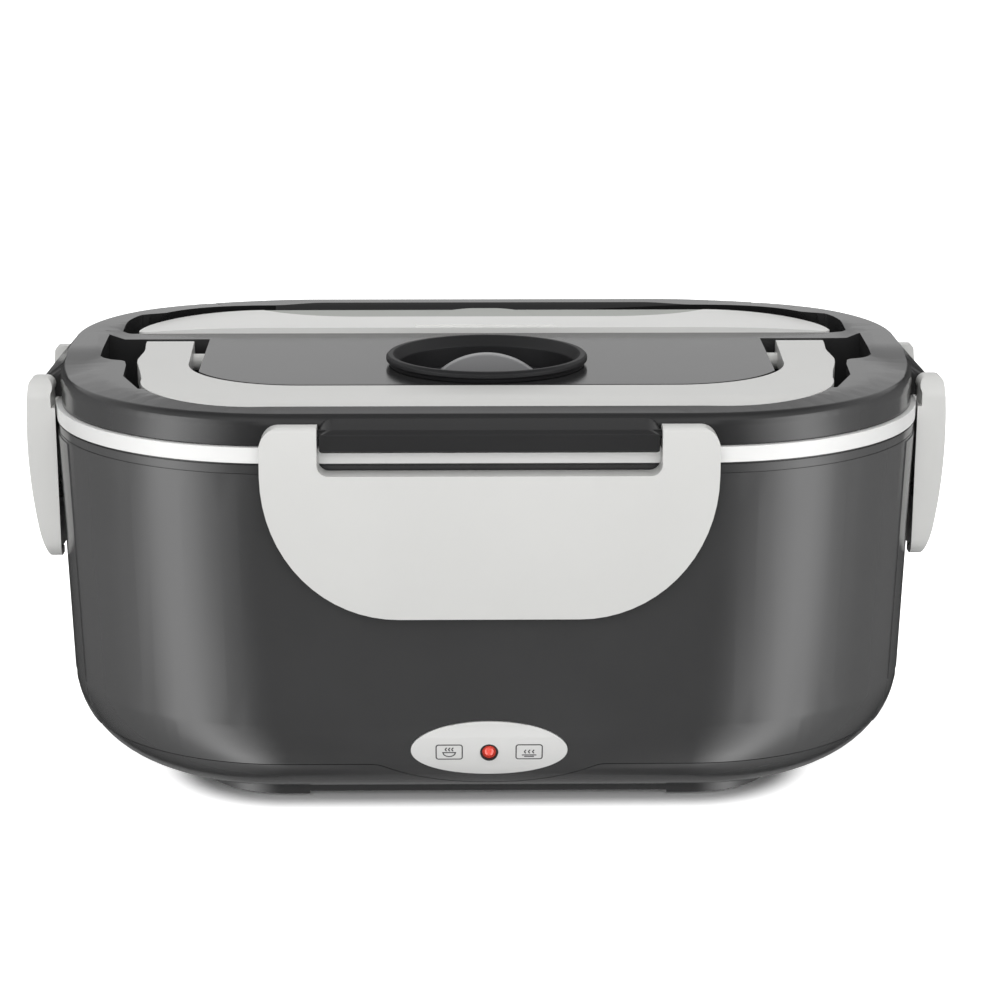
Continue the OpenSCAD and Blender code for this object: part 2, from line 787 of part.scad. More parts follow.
// Section of a vessel with a leaning wall and a rounded floor edge
module vessel_section(bottom_r, top_r, z0, z1, f) {
    polygon([[0, z0 + f], [bottom_r, z0 + f], [top_r, z1], [0, z1]]);
    translate([0, z0]) square([bottom_r - f, f]);
    translate([bottom_r - f, z0 + f]) intersection() {
        circle(f);
        translate([0, -f]) square(f);
    }
}

module food_tray() {
    color(steel_color) difference() {
        union() {
            filled(tray_floor_z, tray_top)
                vessel_section(tray_bottom_r, tray_top_r, tray_floor_z, tray_top, tray_floor_r);
            translate([0, 0, step_z]) linear_extrude(tray_t) plan(tray_rim_r);
        }
        filled(tray_floor_z + tray_t, tray_top + 1) vessel_section(
            tray_bottom_r - tray_t, tray_top_r - tray_t, tray_floor_z + tray_t, tray_top + 1, tray_floor_r - tray_t
        );
    }
}

// Plan of the side cup, grown by g
module cup_2d(g) {
    r = cup_r + g;
    side = cy + cup_r - cup_corner;
    intersection() {
        plan(r);
        union() {
            translate([cup_x + cup_corner, -200]) square([200, 400]);
            translate([cup_x - g, -side]) square([4 * cup_corner, 2 * side]);
            for (s = [-1, 1]) translate([cup_x + cup_corner, s * side]) circle(cup_corner + g);
        }
    }
}

module side_cup() {
    color(white_color) difference() {
        translate([0, 0, cup_z]) linear_extrude(cup_h) cup_2d(0);
        translate([0, 0, cup_z + cup_wall]) linear_extrude(cup_h) cup_2d(-cup_wall);
    }
}

module cup_lid() {
    color([0.75, 0.78, 0.8]) difference() {
        translate([0, 0, cup_top - cup_plug_h + 1]) linear_extrude(cup_plug_h - 1 + lift_gap + cup_lid_t)
            cup_2d(lift_gap + 1.2);
        translate([0, 0, cup_top - cup_plug_h]) linear_extrude(cup_plug_h + lift_gap) cup_2d(lift_gap);
    }
}

module cup_seal() {
    color([0.8, 0.8, 0.8]) translate([0, 0, cup_top - 2]) linear_extrude(2 + lift_gap) difference() {
        cup_2d(-cup_wall - lift_gap);
        cup_2d(-cup_wall - lift_gap - 1.6);
    }
}

// ---- lid ----

// Section of the lid's outer form: an upright skirt with a rounded top edge
module lid_section(z0) {
    r = lid_edge_r;
    translate([0, z0]) square([skirt_r, deck_z - r - z0]);
    translate([0, deck_z - r]) square([skirt_r - r, r]);
    translate([skirt_r - r, deck_z - r]) intersection() {
        circle(r);
        square(r);
    }
}

// Plan of the recess that takes the cutlery case, grown by g
module recess_2d(g) {
    intersection() {
        round_rect(recess_half + g, recess_back_y + g, recess_r + g);
        translate([-200, recess_front_y - g]) square([400, 200]);
    }
}

// Outer outline of the handle, grown by g
module handle_outer_2d(g) {
    x = handle_half + g;
    back = hinge_y + tail_l + g;
    arc = [handle_half - 4.6 - handle_r, bar_front + handle_r];
    polygon([
        [-x, back], [-(x - 1.1), -12], [-(x - 4.6), arc.y], [x - 4.6, arc.y], [x - 1.1, -12], [x, back]
    ]);
    translate([-arc.x, bar_front - g]) square([2 * arc.x, handle_r + g + eps]);
    for (s = [-1, 1]) translate([s * arc.x, arc.y]) circle(handle_r + g);
}

// Inner outline of the handle, grown by g
module handle_inner_2d(g) {
    x = handle_half - arm_w + g;
    arc = [handle_half - arm_w - 1.7 - handle_inner_r, bar_front + bar_d + handle_inner_r];
    back = hinge_y + tail_l + 1;
    polygon([[-x, back], [-(x - 1.7), arc.y], [x - 1.7, arc.y], [x, back]]);
    translate([-arc.x, bar_front + bar_d - g]) square([2 * arc.x, handle_inner_r + g + eps]);
    for (s = [-1, 1]) translate([s * arc.x, arc.y]) circle(handle_inner_r + g);
}

// The part of the deck inside the handle
module island_2d() {
    intersection() {
        union() {
            handle_inner_2d(-0.8);
            translate([-island_half, 0]) square([2 * island_half, pocket_back + 2]);
        }
        polygon([
            [-island_half, pocket_back + 2], [-island_half, pocket_back], [-island_half + 2.5, bar_front],
            [island_half - 2.5, bar_front], [island_half, pocket_back], [island_half, pocket_back + 2]
        ]);
    }
}

// Outline of the deep pocket beside each handle arm, right-hand side
module pocket_2d() {
    x = handle_half;
    polygon([
        [x - 20, pocket_back], [x + 10.2, pocket_back], [x + 9.2, -10], [x + 8.2, -11.1], [x + 3.3, -13.2],
        [x + 2.3, -14.4], [x + 1.4, -19.4], [x + 0.3, -33.4], [x - 5.3, -49], [x - 20, -49]
    ]);
}

// Everything cut into the deck for the handle: a groove under all of it and the deep pockets beside its arms
module handle_cuts() {
    translate([0, 0, handle_z - 0.4]) linear_extrude(20) difference() {
        handle_outer_2d(0.5);
        island_2d();
    }
    translate([0, 0, pocket_z]) linear_extrude(20) difference() {
        both_sides() {
            intersection() {
                pocket_2d();
                translate([0, -30]) square([200, 200]);
            }
            pocket_gap_2d();
        }
        island_2d();
    }
}

// The narrow front end of the pocket, outside the handle
module pocket_gap_2d() {
    difference() {
        pocket_2d();
        handle_outer_2d(-1.5);
        translate([0, -10]) square([200, 200]);
    }
}

// Front view of a lug: softly rounded at its upper corners
module lug_2d(half) {
    top_r = 3;
    low_r = 0.8;
    polygon(concat(
        arc_points([half - low_r, lug_low + low_r], low_r, 270, 360, 3),
        arc_points([half - top_r, lug_top - top_r], top_r, 0, 90, 6),
        arc_points([top_r - half, lug_top - top_r], top_r, 90, 180, 6),
        arc_points([low_r - half, lug_low + low_r], low_r, 180, 270, 3)
    ));
}

// Side view of a lug, clear of the rim band where it hangs in front of it
module lug_section() {
    edge_r = 1.4;
    polygon(concat(
        [[-lug_root, lid_z + eps], [0.4, lid_z + eps], [0.4, lug_low], [lug_out - 0.5, lug_low],
            [lug_out, lug_low + 0.5]],
        arc_points([lug_out - edge_r, lug_top - edge_r], edge_r, 0, 90, 6),
        [[-lug_root, lug_top]]
    ));
}

// One latch lug with the hole for its pin: local y points out of the rim band's plane
module lug(half) {
    difference() {
        intersection() {
            translate([-half, 0, 0]) rotate([90, 0, 90]) linear_extrude(2 * half) lug_section();
            translate([0, 20, 0]) rotate([90, 0, 0]) linear_extrude(40) lug_2d(half);
        }
        translate([-half - 1, pin_out, pin_z]) rotate([0, 90, 0]) cylinder(r = pin_r, h = 2 * half + 2);
    }
}

// Puts something made for the front face on each of the four faces
module on_front() {
    translate([0, -half_d, 0]) rotate([0, 0, 180]) children();
}
module on_rear() {
    translate([0, half_d, 0]) children();
}
module on_right() {
    translate([half_w, 0, 0]) rotate([0, 0, -90]) children();
}
module on_left() {
    translate([-half_w, 0, 0]) rotate([0, 0, 90]) children();
}

module lid_shell() {
    color(shell_color) difference() {
        union() {
            difference() {
                filled(lid_z, deck_z) lid_section(lid_z);
                translate([0, 0, lid_z - 1]) linear_extrude(deck_under - lid_z + 1) plan(skirt_in_r);
            }
            intersection() {
                union() {
                    translate([0, 0, recess_z - pocket_t]) linear_extrude(recess_depth) recess_2d(pocket_t);
                    translate([0, 0, handle_z - 0.4 - pocket_t]) linear_extrude(handle_t) difference() {
                        handle_outer_2d(2);
                        island_core_2d();
                    }
                    both_sides() pocket_tub();
                    translate([0, -valve_y, bowl_z - 3]) cylinder(r = collar_r + 1, h = deck_z - bowl_z + 2);
                }
                union() {
                    translate([0, 0, pocket_z - pocket_t]) linear_extrude(pocket_depth) plan(tub_r);
                    translate([0, 0, tub_step_z]) linear_extrude(deck_z - 1 - tub_step_z) plan(skirt_in_r + 0.1);
                }
            }
            for (y = liner_screw_y, s = [-1, 1]) translate([s * liner_screw_x, y, liner_z + liner_t + 0.1])
                cylinder(r = 3.5, h = deck_under - liner_z - liner_t);
            on_front() lug(lug_half);
            on_rear() lug(lug_half);
            on_left() lug(side_lug_half);
            on_right() lug(side_lug_half);
        }
        handle_cuts();
        translate([0, 0, tub_step_z + pocket_t]) linear_extrude(20) recess_2d(0);
        translate([0, 0, recess_z]) linear_extrude(20) intersection() {
            recess_2d(0);
            plan(tub_r - pocket_t);
        }
        translate([0, -valve_y, bowl_z - 1.5]) cylinder(r = collar_r - 1, h = 20);
        translate([0, -valve_y, bowl_z - 5]) cylinder(r = stem_r + 3, h = 20);
        both_sides() translate([island_half - 4, hinge_y, hinge_z]) rotate([0, 90, 0])
            cylinder(r = stub_r + run_gap, h = 8);
        for (y = liner_screw_y, s = [-1, 1]) translate([s * liner_screw_x, y, liner_z])
            cylinder(r = 1.2, h = 10);
    }
}

// The island set in by the tub's wall, so that the deck stays hollow under it
module island_core_2d() {
    intersection() {
        handle_inner_2d(-2.4);
        square([2 * (island_half - 4), 300], center = true);
    }
}

// Tub that closes the deep pocket below the deck
module pocket_tub() {
    z = pocket_z - pocket_t;
    translate([island_half - 3.2, -34, z]) cube([handle_half + 12 - island_half + 3.2, pocket_back + 34 + pocket_t,
        pocket_depth]);
    translate([handle_half - 16, -51, z]) cube([20, 18, pocket_depth]);
}

module lid_liner() {
    flange_z = lid_z + 0.2;
    flange_r = skirt_in_r - 0.15;
    color(white_color) difference() {
        filled(liner_z, flange_z + 1.2) polygon([
            [0, liner_z], [liner_r, liner_z], [liner_r, flange_z], [flange_r, flange_z],
            [flange_r, flange_z + 1.2], [0, flange_z + 1.2]
        ]);
        translate([0, 0, liner_z + liner_t]) linear_extrude(20) plan(liner_r - liner_wall);
        for (y = liner_screw_y, s = [-1, 1]) translate([s * liner_screw_x, y, liner_z - 1])
            cylinder(r = 1.3, h = 10);
        translate([0, -valve_y, liner_z - 1]) cylinder(r = stem_r + 1.2, h = 10);
    }
}

module lid_seal() {
    color([0.86, 0.86, 0.86]) translate([0, 0, seal_z]) linear_extrude(liner_z - seal_z) difference() {
        plan(liner_r - 0.2);
        plan(liner_r - 3.2);
    }
}

module liner_screws() {
    color(steel_color) for (y = liner_screw_y, s = [-1, 1]) translate([s * liner_screw_x, y, 0]) {
        translate([0, 0, liner_z - 1.2]) cylinder(r = 2.6, h = 1.2);
        translate([0, 0, liner_z]) cylinder(r = 1.15, h = 8);
    }
}

// A pin through one lug, into both arms of its latch
module latch_pin(half) {
    translate([-half, pin_out, pin_z]) rotate([0, 90, 0]) cylinder(r = pin_r, h = 2 * half);
}

module latch_pins() {
    color(steel_color) {
        on_front() latch_pin(lug_half + 7);
        on_rear() latch_pin(lug_half + 7);
        on_left() latch_pin(side_lug_half + 5);
        on_right() latch_pin(side_lug_half + 5);
    }
}

// ---- steam valve ----

module valve_collar() {
    seat = collar_r - 1.1;
    color(black_color) translate([0, -valve_y, 0]) rotate_extrude() polygon([
        [stem_r + run_gap + 0.2, bowl_z - 1.5], [seat, bowl_z - 1.5], [seat, deck_z + 0.05],
        [collar_r, deck_z + 0.05], [collar_r + 0.3, deck_z + 1], [rim_r, deck_z + collar_h - 1.6],
        [rim_r, deck_z + collar_h - 0.6], [rim_r - 0.6, deck_z + collar_h], [rim_r - 1.7, deck_z + collar_h],
        [bowl_r, deck_z + collar_h - 2.6], [bowl_r, bowl_z], [stem_r + run_gap + 0.2, bowl_z]
    ]);
}

module valve_plug() {
    color(black_color) translate([0, -valve_y, 0]) rotate_extrude() polygon([
        [0, liner_z - 1.5], [stem_r, liner_z - 1.5], [stem_r, bowl_z + lift_gap], [bowl_r - 1.2, bowl_z + lift_gap],
        [bowl_r - 1.2, bowl_z + 1.8], [bowl_r - 2.2, bowl_z + 2.4], [0, bowl_z + 2.4]
    ]);
}

module valve_grip() {
    low = bowl_z + 2.4;
    color([0.48, 0.48, 0.49]) translate([0, -valve_y + grip_t / 2, grip_top - grip_r]) rotate([90, 0, 0])
        linear_extrude(grip_t) intersection() {
            circle(grip_r);
            translate([-grip_r, low - grip_top + grip_r]) square([2 * grip_r, grip_r * 2]);
        }
}

module valve_washer() {
    color([0.8, 0.3, 0.2]) translate([0, -valve_y, bowl_z + lift_gap]) difference() {
        translate([0, 0, -0.2]) cylinder(r = 9, h = 0.2);
        translate([0, 0, -1]) cylinder(r = stem_r + 0.02, h = 3);
    }
}

// ---- handle ----

module handle() {
    bar_mid = bar_front + bar_d / 2;
    color(light_color) difference() {
        union() {
            translate([0, 0, handle_z]) linear_extrude(handle_t) difference() {
                handle_outer_2d(0);
                handle_inner_2d(0);
            }
            both_sides() translate([island_half - 1.4, hinge_y, hinge_z]) rotate([0, 90, 0])
                cylinder(r = stub_r, h = arm_w / 2 + 5.5);
        }
        translate([0, bar_mid, deck_z]) rotate([atan(bar_slope / (bar_d / 2)), 0, 0])
            translate([-150, -40, 0]) cube([300, 40, 10]);
        translate([0, hinge_y + tail_l - tail_r, deck_z - tail_r]) rotate([0, 90, 0]) difference() {
            translate([-6, 0, -150]) cube([6, 6, 300]);
            cylinder(r = tail_r, h = 400, center = true);
        }
    }
}

// ---- latches ----

// Front view of a latch, set in by g: elliptical lower corners rx wide and ry high, round upper corners
module latch_2d(half, low, rx, ry, g) {
    top_r = latch_top_r - g;
    right = concat(
        [for (i = [0:16]) [half - rx + (rx - g) * sin(90 * i / 16), low + ry - (ry - g) * cos(90 * i / 16)]],
        arc_points([half - latch_top_r, latch_top - latch_top_r], top_r, 0, 90, 8)
    );
    polygon(concat(right, [for (i = [len(right) - 1:-1:0]) [-right[i].x, right[i].y]]));
}

// Side view of a latch: x out of the rim band's plane, y up; the knuckle lies behind the arms' flat top
module latch_section(low) {
    turn = acos((latch_gap - pin_out) / knuckle_r);
    corner_z = latch_top - latch_edge_r;
    corner_x = latch_out - latch_bulge_r + sqrt(pow(latch_bulge_r, 2) - pow(corner_z - latch_bulge_z, 2))
        - latch_edge_r + eps;
    intersection() {
        translate([latch_out - latch_bulge_r, latch_bulge_z]) circle(latch_bulge_r, $fn = 360);
        polygon(concat(
            [[-2, low - 1], [20, low - 1], [20, corner_z]],
            arc_points([corner_x, corner_z], latch_edge_r, 0, 90, 6),
            arc_points([pin_out, pin_z], knuckle_r, 90, 360 - turn, 12),
            [[latch_gap, band_top - 1], [-2, band_top - 1]]
        ));
    }
}

// Inside of the latch's skin, in the same view
module latch_hollow(low) {
    intersection() {
        translate([latch_out - latch_bulge_r, latch_bulge_z]) circle(latch_bulge_r - latch_skin, $fn = 360);
        translate([-5, low - 1]) square([20, slot_low - 1 - low]);
    }
}

// Front view of the slot between the arms, open at the top
module slot_2d(half) {
    polygon(concat(
        arc_points([half - slot_r, slot_low + slot_r], slot_r, 270, 360, 5),
        [[half, latch_top + 5], [-half, latch_top + 5]],
        arc_points([slot_r - half, slot_low + slot_r], slot_r, 180, 270, 5)
    ));
}

// A whole latch: a bulged skin with a rim round it, two arms, a slot for the lug and a hook rib inside.
// side and depth are the box's half sizes along and across the latch's face
module latch(half, lug, ledge, low, rx, ry, side, depth) {
    reach = pin_reach(half, lug);
    difference() {
        intersection() {
            translate([-half, 0, 0]) rotate([90, 0, 90]) linear_extrude(2 * half) latch_section(low);
            translate([0, 20, 0]) rotate([90, 0, 0]) linear_extrude(40) latch_2d(half, low, rx, ry, 0);
        }
        translate([0, 20, 0]) rotate([90, 0, 0]) linear_extrude(40) slot_2d(lug + arm_gap);
        translate([0, -depth, low - 2]) linear_extrude(band_top - low + 2)
            round_rect(side + latch_gap, depth + latch_gap, corner_r + latch_gap);
        difference() {
            intersection() {
                translate([-half, 0, 0]) rotate([90, 0, 90]) linear_extrude(2 * half) latch_hollow(low);
                translate([0, 20, 0]) rotate([90, 0, 0]) linear_extrude(40)
                    latch_2d(half, low, rx, ry, latch_skin);
            }
            translate([-ledge, 0, hook_top - hook_h]) cube([2 * ledge, 10, hook_h]);
        }
        translate([-ledge - 0.5, -10, low - 2]) cube([2 * ledge + 1, 10 + ledge_d + 0.25, ledge_top + 1 - low]);
        for (s = [-1, 1]) translate([s * (lug + arm_gap + reach / 2 - 1), pin_out, pin_z]) rotate([0, 90, 0])
            cylinder(r = pin_r + run_gap, h = reach + 2, center = true);
    }
}

// Depth of the pin's hole in an arm
function pin_reach(half, lug) = min(half - lug - arm_gap - 3, 7.4);

module long_latch() {
    color(light_color) latch(latch_half, lug_half, ledge_half, latch_low_z, latch_rx, latch_ry, half_w, half_d);
}

module short_latch() {
    color(light_color) latch(
        side_latch_half, side_lug_half, side_ledge_half, side_latch_low_z, side_latch_r, side_latch_r, half_d, half_w
    );
}

module latch_front() {
    on_front() long_latch();
}

module latch_rear() {
    on_rear() long_latch();
}

module latch_left() {
    on_left() short_latch();
}

module latch_right() {
    on_right() short_latch();
}

// ---- cutlery case ----

// Plan of the case, grown by g
module case_2d(g) {
    x = case_half + g;
    front_r = max(min(case_front_r, case_back_y - case_front_y - case_r - 0.2) + g, 0.2);
    back_r = case_r + g;
    right = concat(
        arc_points([x - front_r, case_front_y - g + front_r], front_r, 270, 360, 4),
        arc_points([x - back_r, case_back_y + g - back_r], back_r, 0, 90, 24)
    );
    polygon(concat(right, [for (i = [len(right) - 1:-1:0]) [-right[i].x, right[i].y]]));
}

module case_tray() {
    lip = case_wall + fit_gap;
    color(light_color) difference() {
        union() {
            translate([0, 0, case_z]) linear_extrude(case_split) case_2d(0);
            translate([0, 0, case_z]) linear_extrude(case_split + 1.4) case_2d(-lip);
        }
        translate([0, 0, case_z + case_wall]) linear_extrude(20) case_2d(-lip - 1.2);
    }
}

// Sloping top of the case: everything above it is cut away
module above_case_top(z, fall, y0, y1) {
    translate([0, y0, z]) rotate([-atan(fall / (y1 - y0)), 0, 0]) translate([-200, -20, 0]) cube([400, 100, 20]);
}

// Plan of the finger scoop at the back of the case
module scoop_2d() {
    translate([-scoop_r, scoop_lip]) square([2 * scoop_r, 40]);
    for (s = [-1, 1]) translate([s * scoop_r, scoop_lip + scoop_r]) circle(scoop_r);
}

// Everything above the scoop's floor, or above a plane that lies under it
module above_scoop(under) {
    above_case_top(case_top - scoop_deep - under, scoop_fall, scoop_lip, case_back_y);
}

module case_cover() {
    low = case_split_z + lift_gap;
    pad = case_front_y + 2.6;
    color(light_color) difference() {
        translate([0, 0, low]) linear_extrude(case_top + pad_h - low) case_2d(0);
        difference() {
            translate([0, 0, low - 1]) linear_extrude(20) case_2d(-case_wall);
            above_case_top(case_top - 2.6, case_fall, case_front_y, case_back_y);
            intersection() {
                above_scoop(1.6);
                translate([-80, scoop_lip - 4, low]) cube([160, 60, 20]);
            }
        }
        above_case_top(case_top + pad_h, case_fall, case_front_y, case_back_y);
        difference() {
            above_case_top(case_top, case_fall, case_front_y, case_back_y);
            translate([-pad_w / 2, pad, 0]) cube([pad_w, pad_d, 2 * case_top]);
        }
        difference() {
            intersection() {
                above_scoop(0);
                translate([0, 0, low]) linear_extrude(20) scoop_2d();
            }
            translate([0, tab_y, low - 1]) cylinder(r = tab_r, h = 30);
        }
    }
}

module spoon() {
    spoon_r = 9.2;
    round_r = 22;
    color(steel_color) translate([spoon_x, spoon_y, cutlery_z]) {
        translate([0, 0, 1]) linear_extrude(cutlery_t) {
            translate([0, -stem_half]) square([stem_l + 6.5, 2 * stem_half]);
            circle(stem_half + 0.6);
        }
        translate([stem_l + 14, 0, 0]) intersection() {
            difference() {
                translate([0, 0, round_r]) sphere(r = round_r);
                translate([0, 0, round_r]) sphere(r = round_r - 1);
            }
            cylinder(r = spoon_r, h = 4.4);
        }
    }
}

module fork() {
    head = 6.5;
    color(steel_color) translate([fork_x, fork_y, cutlery_z + 0.4]) mirror([1, 0, 0])
        linear_extrude(cutlery_t) difference() {
            union() {
                translate([0, -stem_half]) square([stem_l + 2, 2 * stem_half]);
                circle(stem_half + 0.6);
                translate([stem_l - 5, -head]) square([38, 2 * head]);
            }
            for (k = [-1, 0, 1]) translate([stem_l + 7, k * 3.6 - 0.9]) square([40, 1.8]);
        }
}

outer_shell();
base_cover();
rubber_feet();
base_screws();
inner_well();
heating_plate();
heater_block();
heater_clip();
heater_screws();
thermal_cutout();
power_inlet();
inlet_pins();
panel_badge();
lamp_ring();
lamp_lens();
lamp_board();
food_tray();
side_cup();
cup_lid();
cup_seal();
lid_shell();
lid_liner();
lid_seal();
liner_screws();
latch_pins();
valve_collar();
valve_plug();
valve_grip();
valve_washer();
handle();
latch_front();
latch_rear();
latch_left();
latch_right();
case_tray();
case_cover();
spoon();
fork();
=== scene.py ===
"""Dresses the electric lunch box: finishes, softened edges, badge symbols, studio and camera.

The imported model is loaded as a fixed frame. Every visible moulding is a softened copy of its solid or a
surface worked out with numpy, and rides on the body of the solid that it stands for. Metres, +Z up.
"""

from __future__ import annotations

import json
import logging
import math
from collections.abc import Sequence
from dataclasses import dataclass, field
from enum import Enum
from typing import ClassVar

import bmesh
import bpy
import numpy as np
from mathutils import Matrix, Vector

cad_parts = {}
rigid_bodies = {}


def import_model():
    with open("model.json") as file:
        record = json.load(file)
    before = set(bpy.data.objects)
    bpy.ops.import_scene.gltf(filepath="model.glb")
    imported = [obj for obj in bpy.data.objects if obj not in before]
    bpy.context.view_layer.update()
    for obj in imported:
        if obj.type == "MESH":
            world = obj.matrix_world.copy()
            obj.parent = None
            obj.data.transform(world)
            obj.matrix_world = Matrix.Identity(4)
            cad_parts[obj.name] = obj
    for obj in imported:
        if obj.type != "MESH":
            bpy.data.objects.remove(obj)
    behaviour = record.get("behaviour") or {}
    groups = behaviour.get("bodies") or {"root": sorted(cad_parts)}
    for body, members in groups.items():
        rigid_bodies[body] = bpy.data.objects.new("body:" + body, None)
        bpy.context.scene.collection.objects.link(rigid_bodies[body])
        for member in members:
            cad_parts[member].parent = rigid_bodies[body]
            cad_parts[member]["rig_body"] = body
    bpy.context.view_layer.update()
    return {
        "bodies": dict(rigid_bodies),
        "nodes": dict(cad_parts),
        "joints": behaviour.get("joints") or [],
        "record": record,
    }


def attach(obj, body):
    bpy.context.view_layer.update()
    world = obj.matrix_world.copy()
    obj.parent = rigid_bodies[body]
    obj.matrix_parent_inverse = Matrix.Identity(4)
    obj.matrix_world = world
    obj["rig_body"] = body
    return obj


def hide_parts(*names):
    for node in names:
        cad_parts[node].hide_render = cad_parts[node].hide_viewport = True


LOG = logging.getLogger("lunch_box")
MM = 0.001
CUT_SLACK = 0.01 * MM

Colour = tuple[float, float, float]
Place = tuple[float, float, float]
Span = tuple[float, float]


class Grain(Enum):
    """Surface texture of a moulding or a pressing: its repeats per metre, its height and its stretch."""

    POLISHED = (400.0, 0.000002, (1, 1, 1))
    SATIN = (2600.0, 0.000006, (1, 1, 1))
    BRUSHED = (1400.0, 0.000008, (0.03, 1, 1))
    RUBBERY = (1800.0, 0.000010, (1, 1, 1))


# ---------------------------------------------------------------- finishes


@dataclass(frozen=True)
class Finish:
    """One finish of the box: a colour, a gloss and a grain."""

    COAT_ROUGHNESS: ClassVar[float] = 0.06
    PIGMENT_SCALE: ClassVar[float] = 35.0
    PIGMENT_DETAIL: ClassVar[float] = 3.0
    PIGMENT_STOPS: ClassVar[Span] = (0.35, 0.65)
    HANDLING_SCALE: ClassVar[float] = 90.0
    HANDLING_DETAIL: ClassVar[float] = 5.0
    HANDLING_SHARE: ClassVar[float] = 0.08
    GRAIN_DETAIL: ClassVar[float] = 2.0
    GRAIN_STRENGTH: ClassVar[float] = 0.6

    name: str
    colour: Colour
    roughness: float
    grain: Grain = Grain.SATIN
    metallic: float = 0.0
    specular: float = 0.5
    coat: float = 0.0
    mottle: float = 0.04
    transmission: float = 0.0

    def build(self) -> bpy.types.Material:
        """Makes the node material of this finish.

        Returns:
            The material, ready to be put into a slot.
        """
        material = bpy.data.materials.new(self.name)
        material.use_nodes = True
        tree = material.node_tree
        shader = tree.nodes["Principled BSDF"]
        shader.inputs["Metallic"].default_value = self.metallic
        shader.inputs["Specular IOR Level"].default_value = self.specular
        shader.inputs["Coat Weight"].default_value = self.coat
        shader.inputs["Coat Roughness"].default_value = self.COAT_ROUGHNESS
        shader.inputs["Transmission Weight"].default_value = self.transmission
        place = tree.nodes.new("ShaderNodeTexCoord").outputs["Object"]
        self._tint(tree, shader, place)
        self._roughen(tree, shader, place)
        self._bump(tree, shader, place)
        return material

    def _noise(self, tree: bpy.types.NodeTree, place: bpy.types.NodeSocket, scale: float,
               detail: float, stretch: tuple[float, float, float] = (1, 1, 1)) -> bpy.types.Node:
        """Adds a noise pattern of a given scale.

        Args:
            tree: The material's nodes.
            place: The socket with the piece's own coordinates.
            scale: Pattern repeats per metre.
            detail: Octaves of finer noise.
            stretch: Share of the scale along each axis.

        Returns:
            The noise node.
        """
        mapping = tree.nodes.new("ShaderNodeMapping")
        mapping.inputs["Scale"].default_value = stretch
        noise = tree.nodes.new("ShaderNodeTexNoise")
        noise.inputs["Scale"].default_value = scale
        noise.inputs["Detail"].default_value = detail
        tree.links.new(place, mapping.inputs["Vector"])
        tree.links.new(mapping.outputs["Vector"], noise.inputs["Vector"])
        return noise

    def _tint(self, tree: bpy.types.NodeTree, shader: bpy.types.Node, place: bpy.types.NodeSocket) -> None:
        """Varies the colour a little over the piece, as moulded pigment does.

        Args:
            tree: The material's nodes.
            shader: Its surface shader.
            place: The socket with the piece's own coordinates.
        """
        noise = self._noise(tree, place, self.PIGMENT_SCALE, self.PIGMENT_DETAIL)
        ramp = tree.nodes.new("ShaderNodeValToRGB")
        for stop, share in zip(ramp.color_ramp.elements, (1 - self.mottle, 1 + self.mottle)):
            stop.color = (*(min(1.0, channel * share) for channel in self.colour), 1.0)
        for stop, position in zip(ramp.color_ramp.elements, self.PIGMENT_STOPS):
            stop.position = position
        tree.links.new(noise.outputs["Fac"], ramp.inputs["Fac"])
        tree.links.new(ramp.outputs["Color"], shader.inputs["Base Color"])

    def _roughen(self, tree: bpy.types.NodeTree, shader: bpy.types.Node, place: bpy.types.NodeSocket) -> None:
        """Varies the gloss with faint handling marks.

        Args:
            tree: The material's nodes.
            shader: Its surface shader.
            place: The socket with the piece's own coordinates.
        """
        noise = self._noise(tree, place, self.HANDLING_SCALE, self.HANDLING_DETAIL)
        spread = tree.nodes.new("ShaderNodeMapRange")
        spread.inputs["To Min"].default_value = self.roughness * (1 - self.HANDLING_SHARE)
        spread.inputs["To Max"].default_value = self.roughness * (1 + self.HANDLING_SHARE)
        tree.links.new(noise.outputs["Fac"], spread.inputs["Value"])
        tree.links.new(spread.outputs["Result"], shader.inputs["Roughness"])

    def _bump(self, tree: bpy.types.NodeTree, shader: bpy.types.Node, place: bpy.types.NodeSocket) -> None:
        """Adds the grain: spark-eroded satin, rubber, brushing or a near-smooth polish.

        Args:
            tree: The material's nodes.
            shader: Its surface shader.
            place: The socket with the piece's own coordinates.
        """
        scale, height, stretch = self.grain.value
        noise = self._noise(tree, place, scale, self.GRAIN_DETAIL, stretch)
        bump = tree.nodes.new("ShaderNodeBump")
        bump.inputs["Strength"].default_value = self.GRAIN_STRENGTH
        bump.inputs["Distance"].default_value = height
        tree.links.new(noise.outputs["Fac"], bump.inputs["Height"])
        tree.links.new(bump.outputs["Normal"], shader.inputs["Normal"])


SHELL = Finish("shell_plastic", (0.042, 0.042, 0.0425), 0.17, Grain.POLISHED)
# The shell's plastic made darker for the lid: the darkening paints the shade on the lid's skirt and lugs.
LID = Finish("lid_plastic", (0.023, 0.023, 0.0235), 0.17, Grain.POLISHED)
LIGHT = Finish("light_plastic", (0.6, 0.6, 0.586), 0.38, Grain.SATIN, mottle=0.01)
HANDLE = Finish("handle_plastic", (0.62, 0.62, 0.605), 0.38, Grain.SATIN, mottle=0.01)
CASE = Finish("case_plastic", (0.74, 0.74, 0.725), 0.34, Grain.SATIN, mottle=0.01)
BADGE = Finish("badge_plastic", (0.66, 0.66, 0.65), 0.3, Grain.POLISHED, mottle=0.01)
WHITE = Finish("white_plastic", (0.8, 0.8, 0.79), 0.3, Grain.POLISHED, mottle=0.01)
BLACK = Finish("black_plastic", (0.012, 0.012, 0.012), 0.4, Grain.SATIN)
RUBBER = Finish("black_rubber", (0.012, 0.012, 0.013), 0.5, Grain.RUBBERY, specular=0.35)
GREY = Finish("grey_plastic", (0.27, 0.27, 0.275), 0.35, Grain.SATIN)
SILICONE = Finish("seal_silicone", (0.68, 0.68, 0.68), 0.45, Grain.RUBBERY)
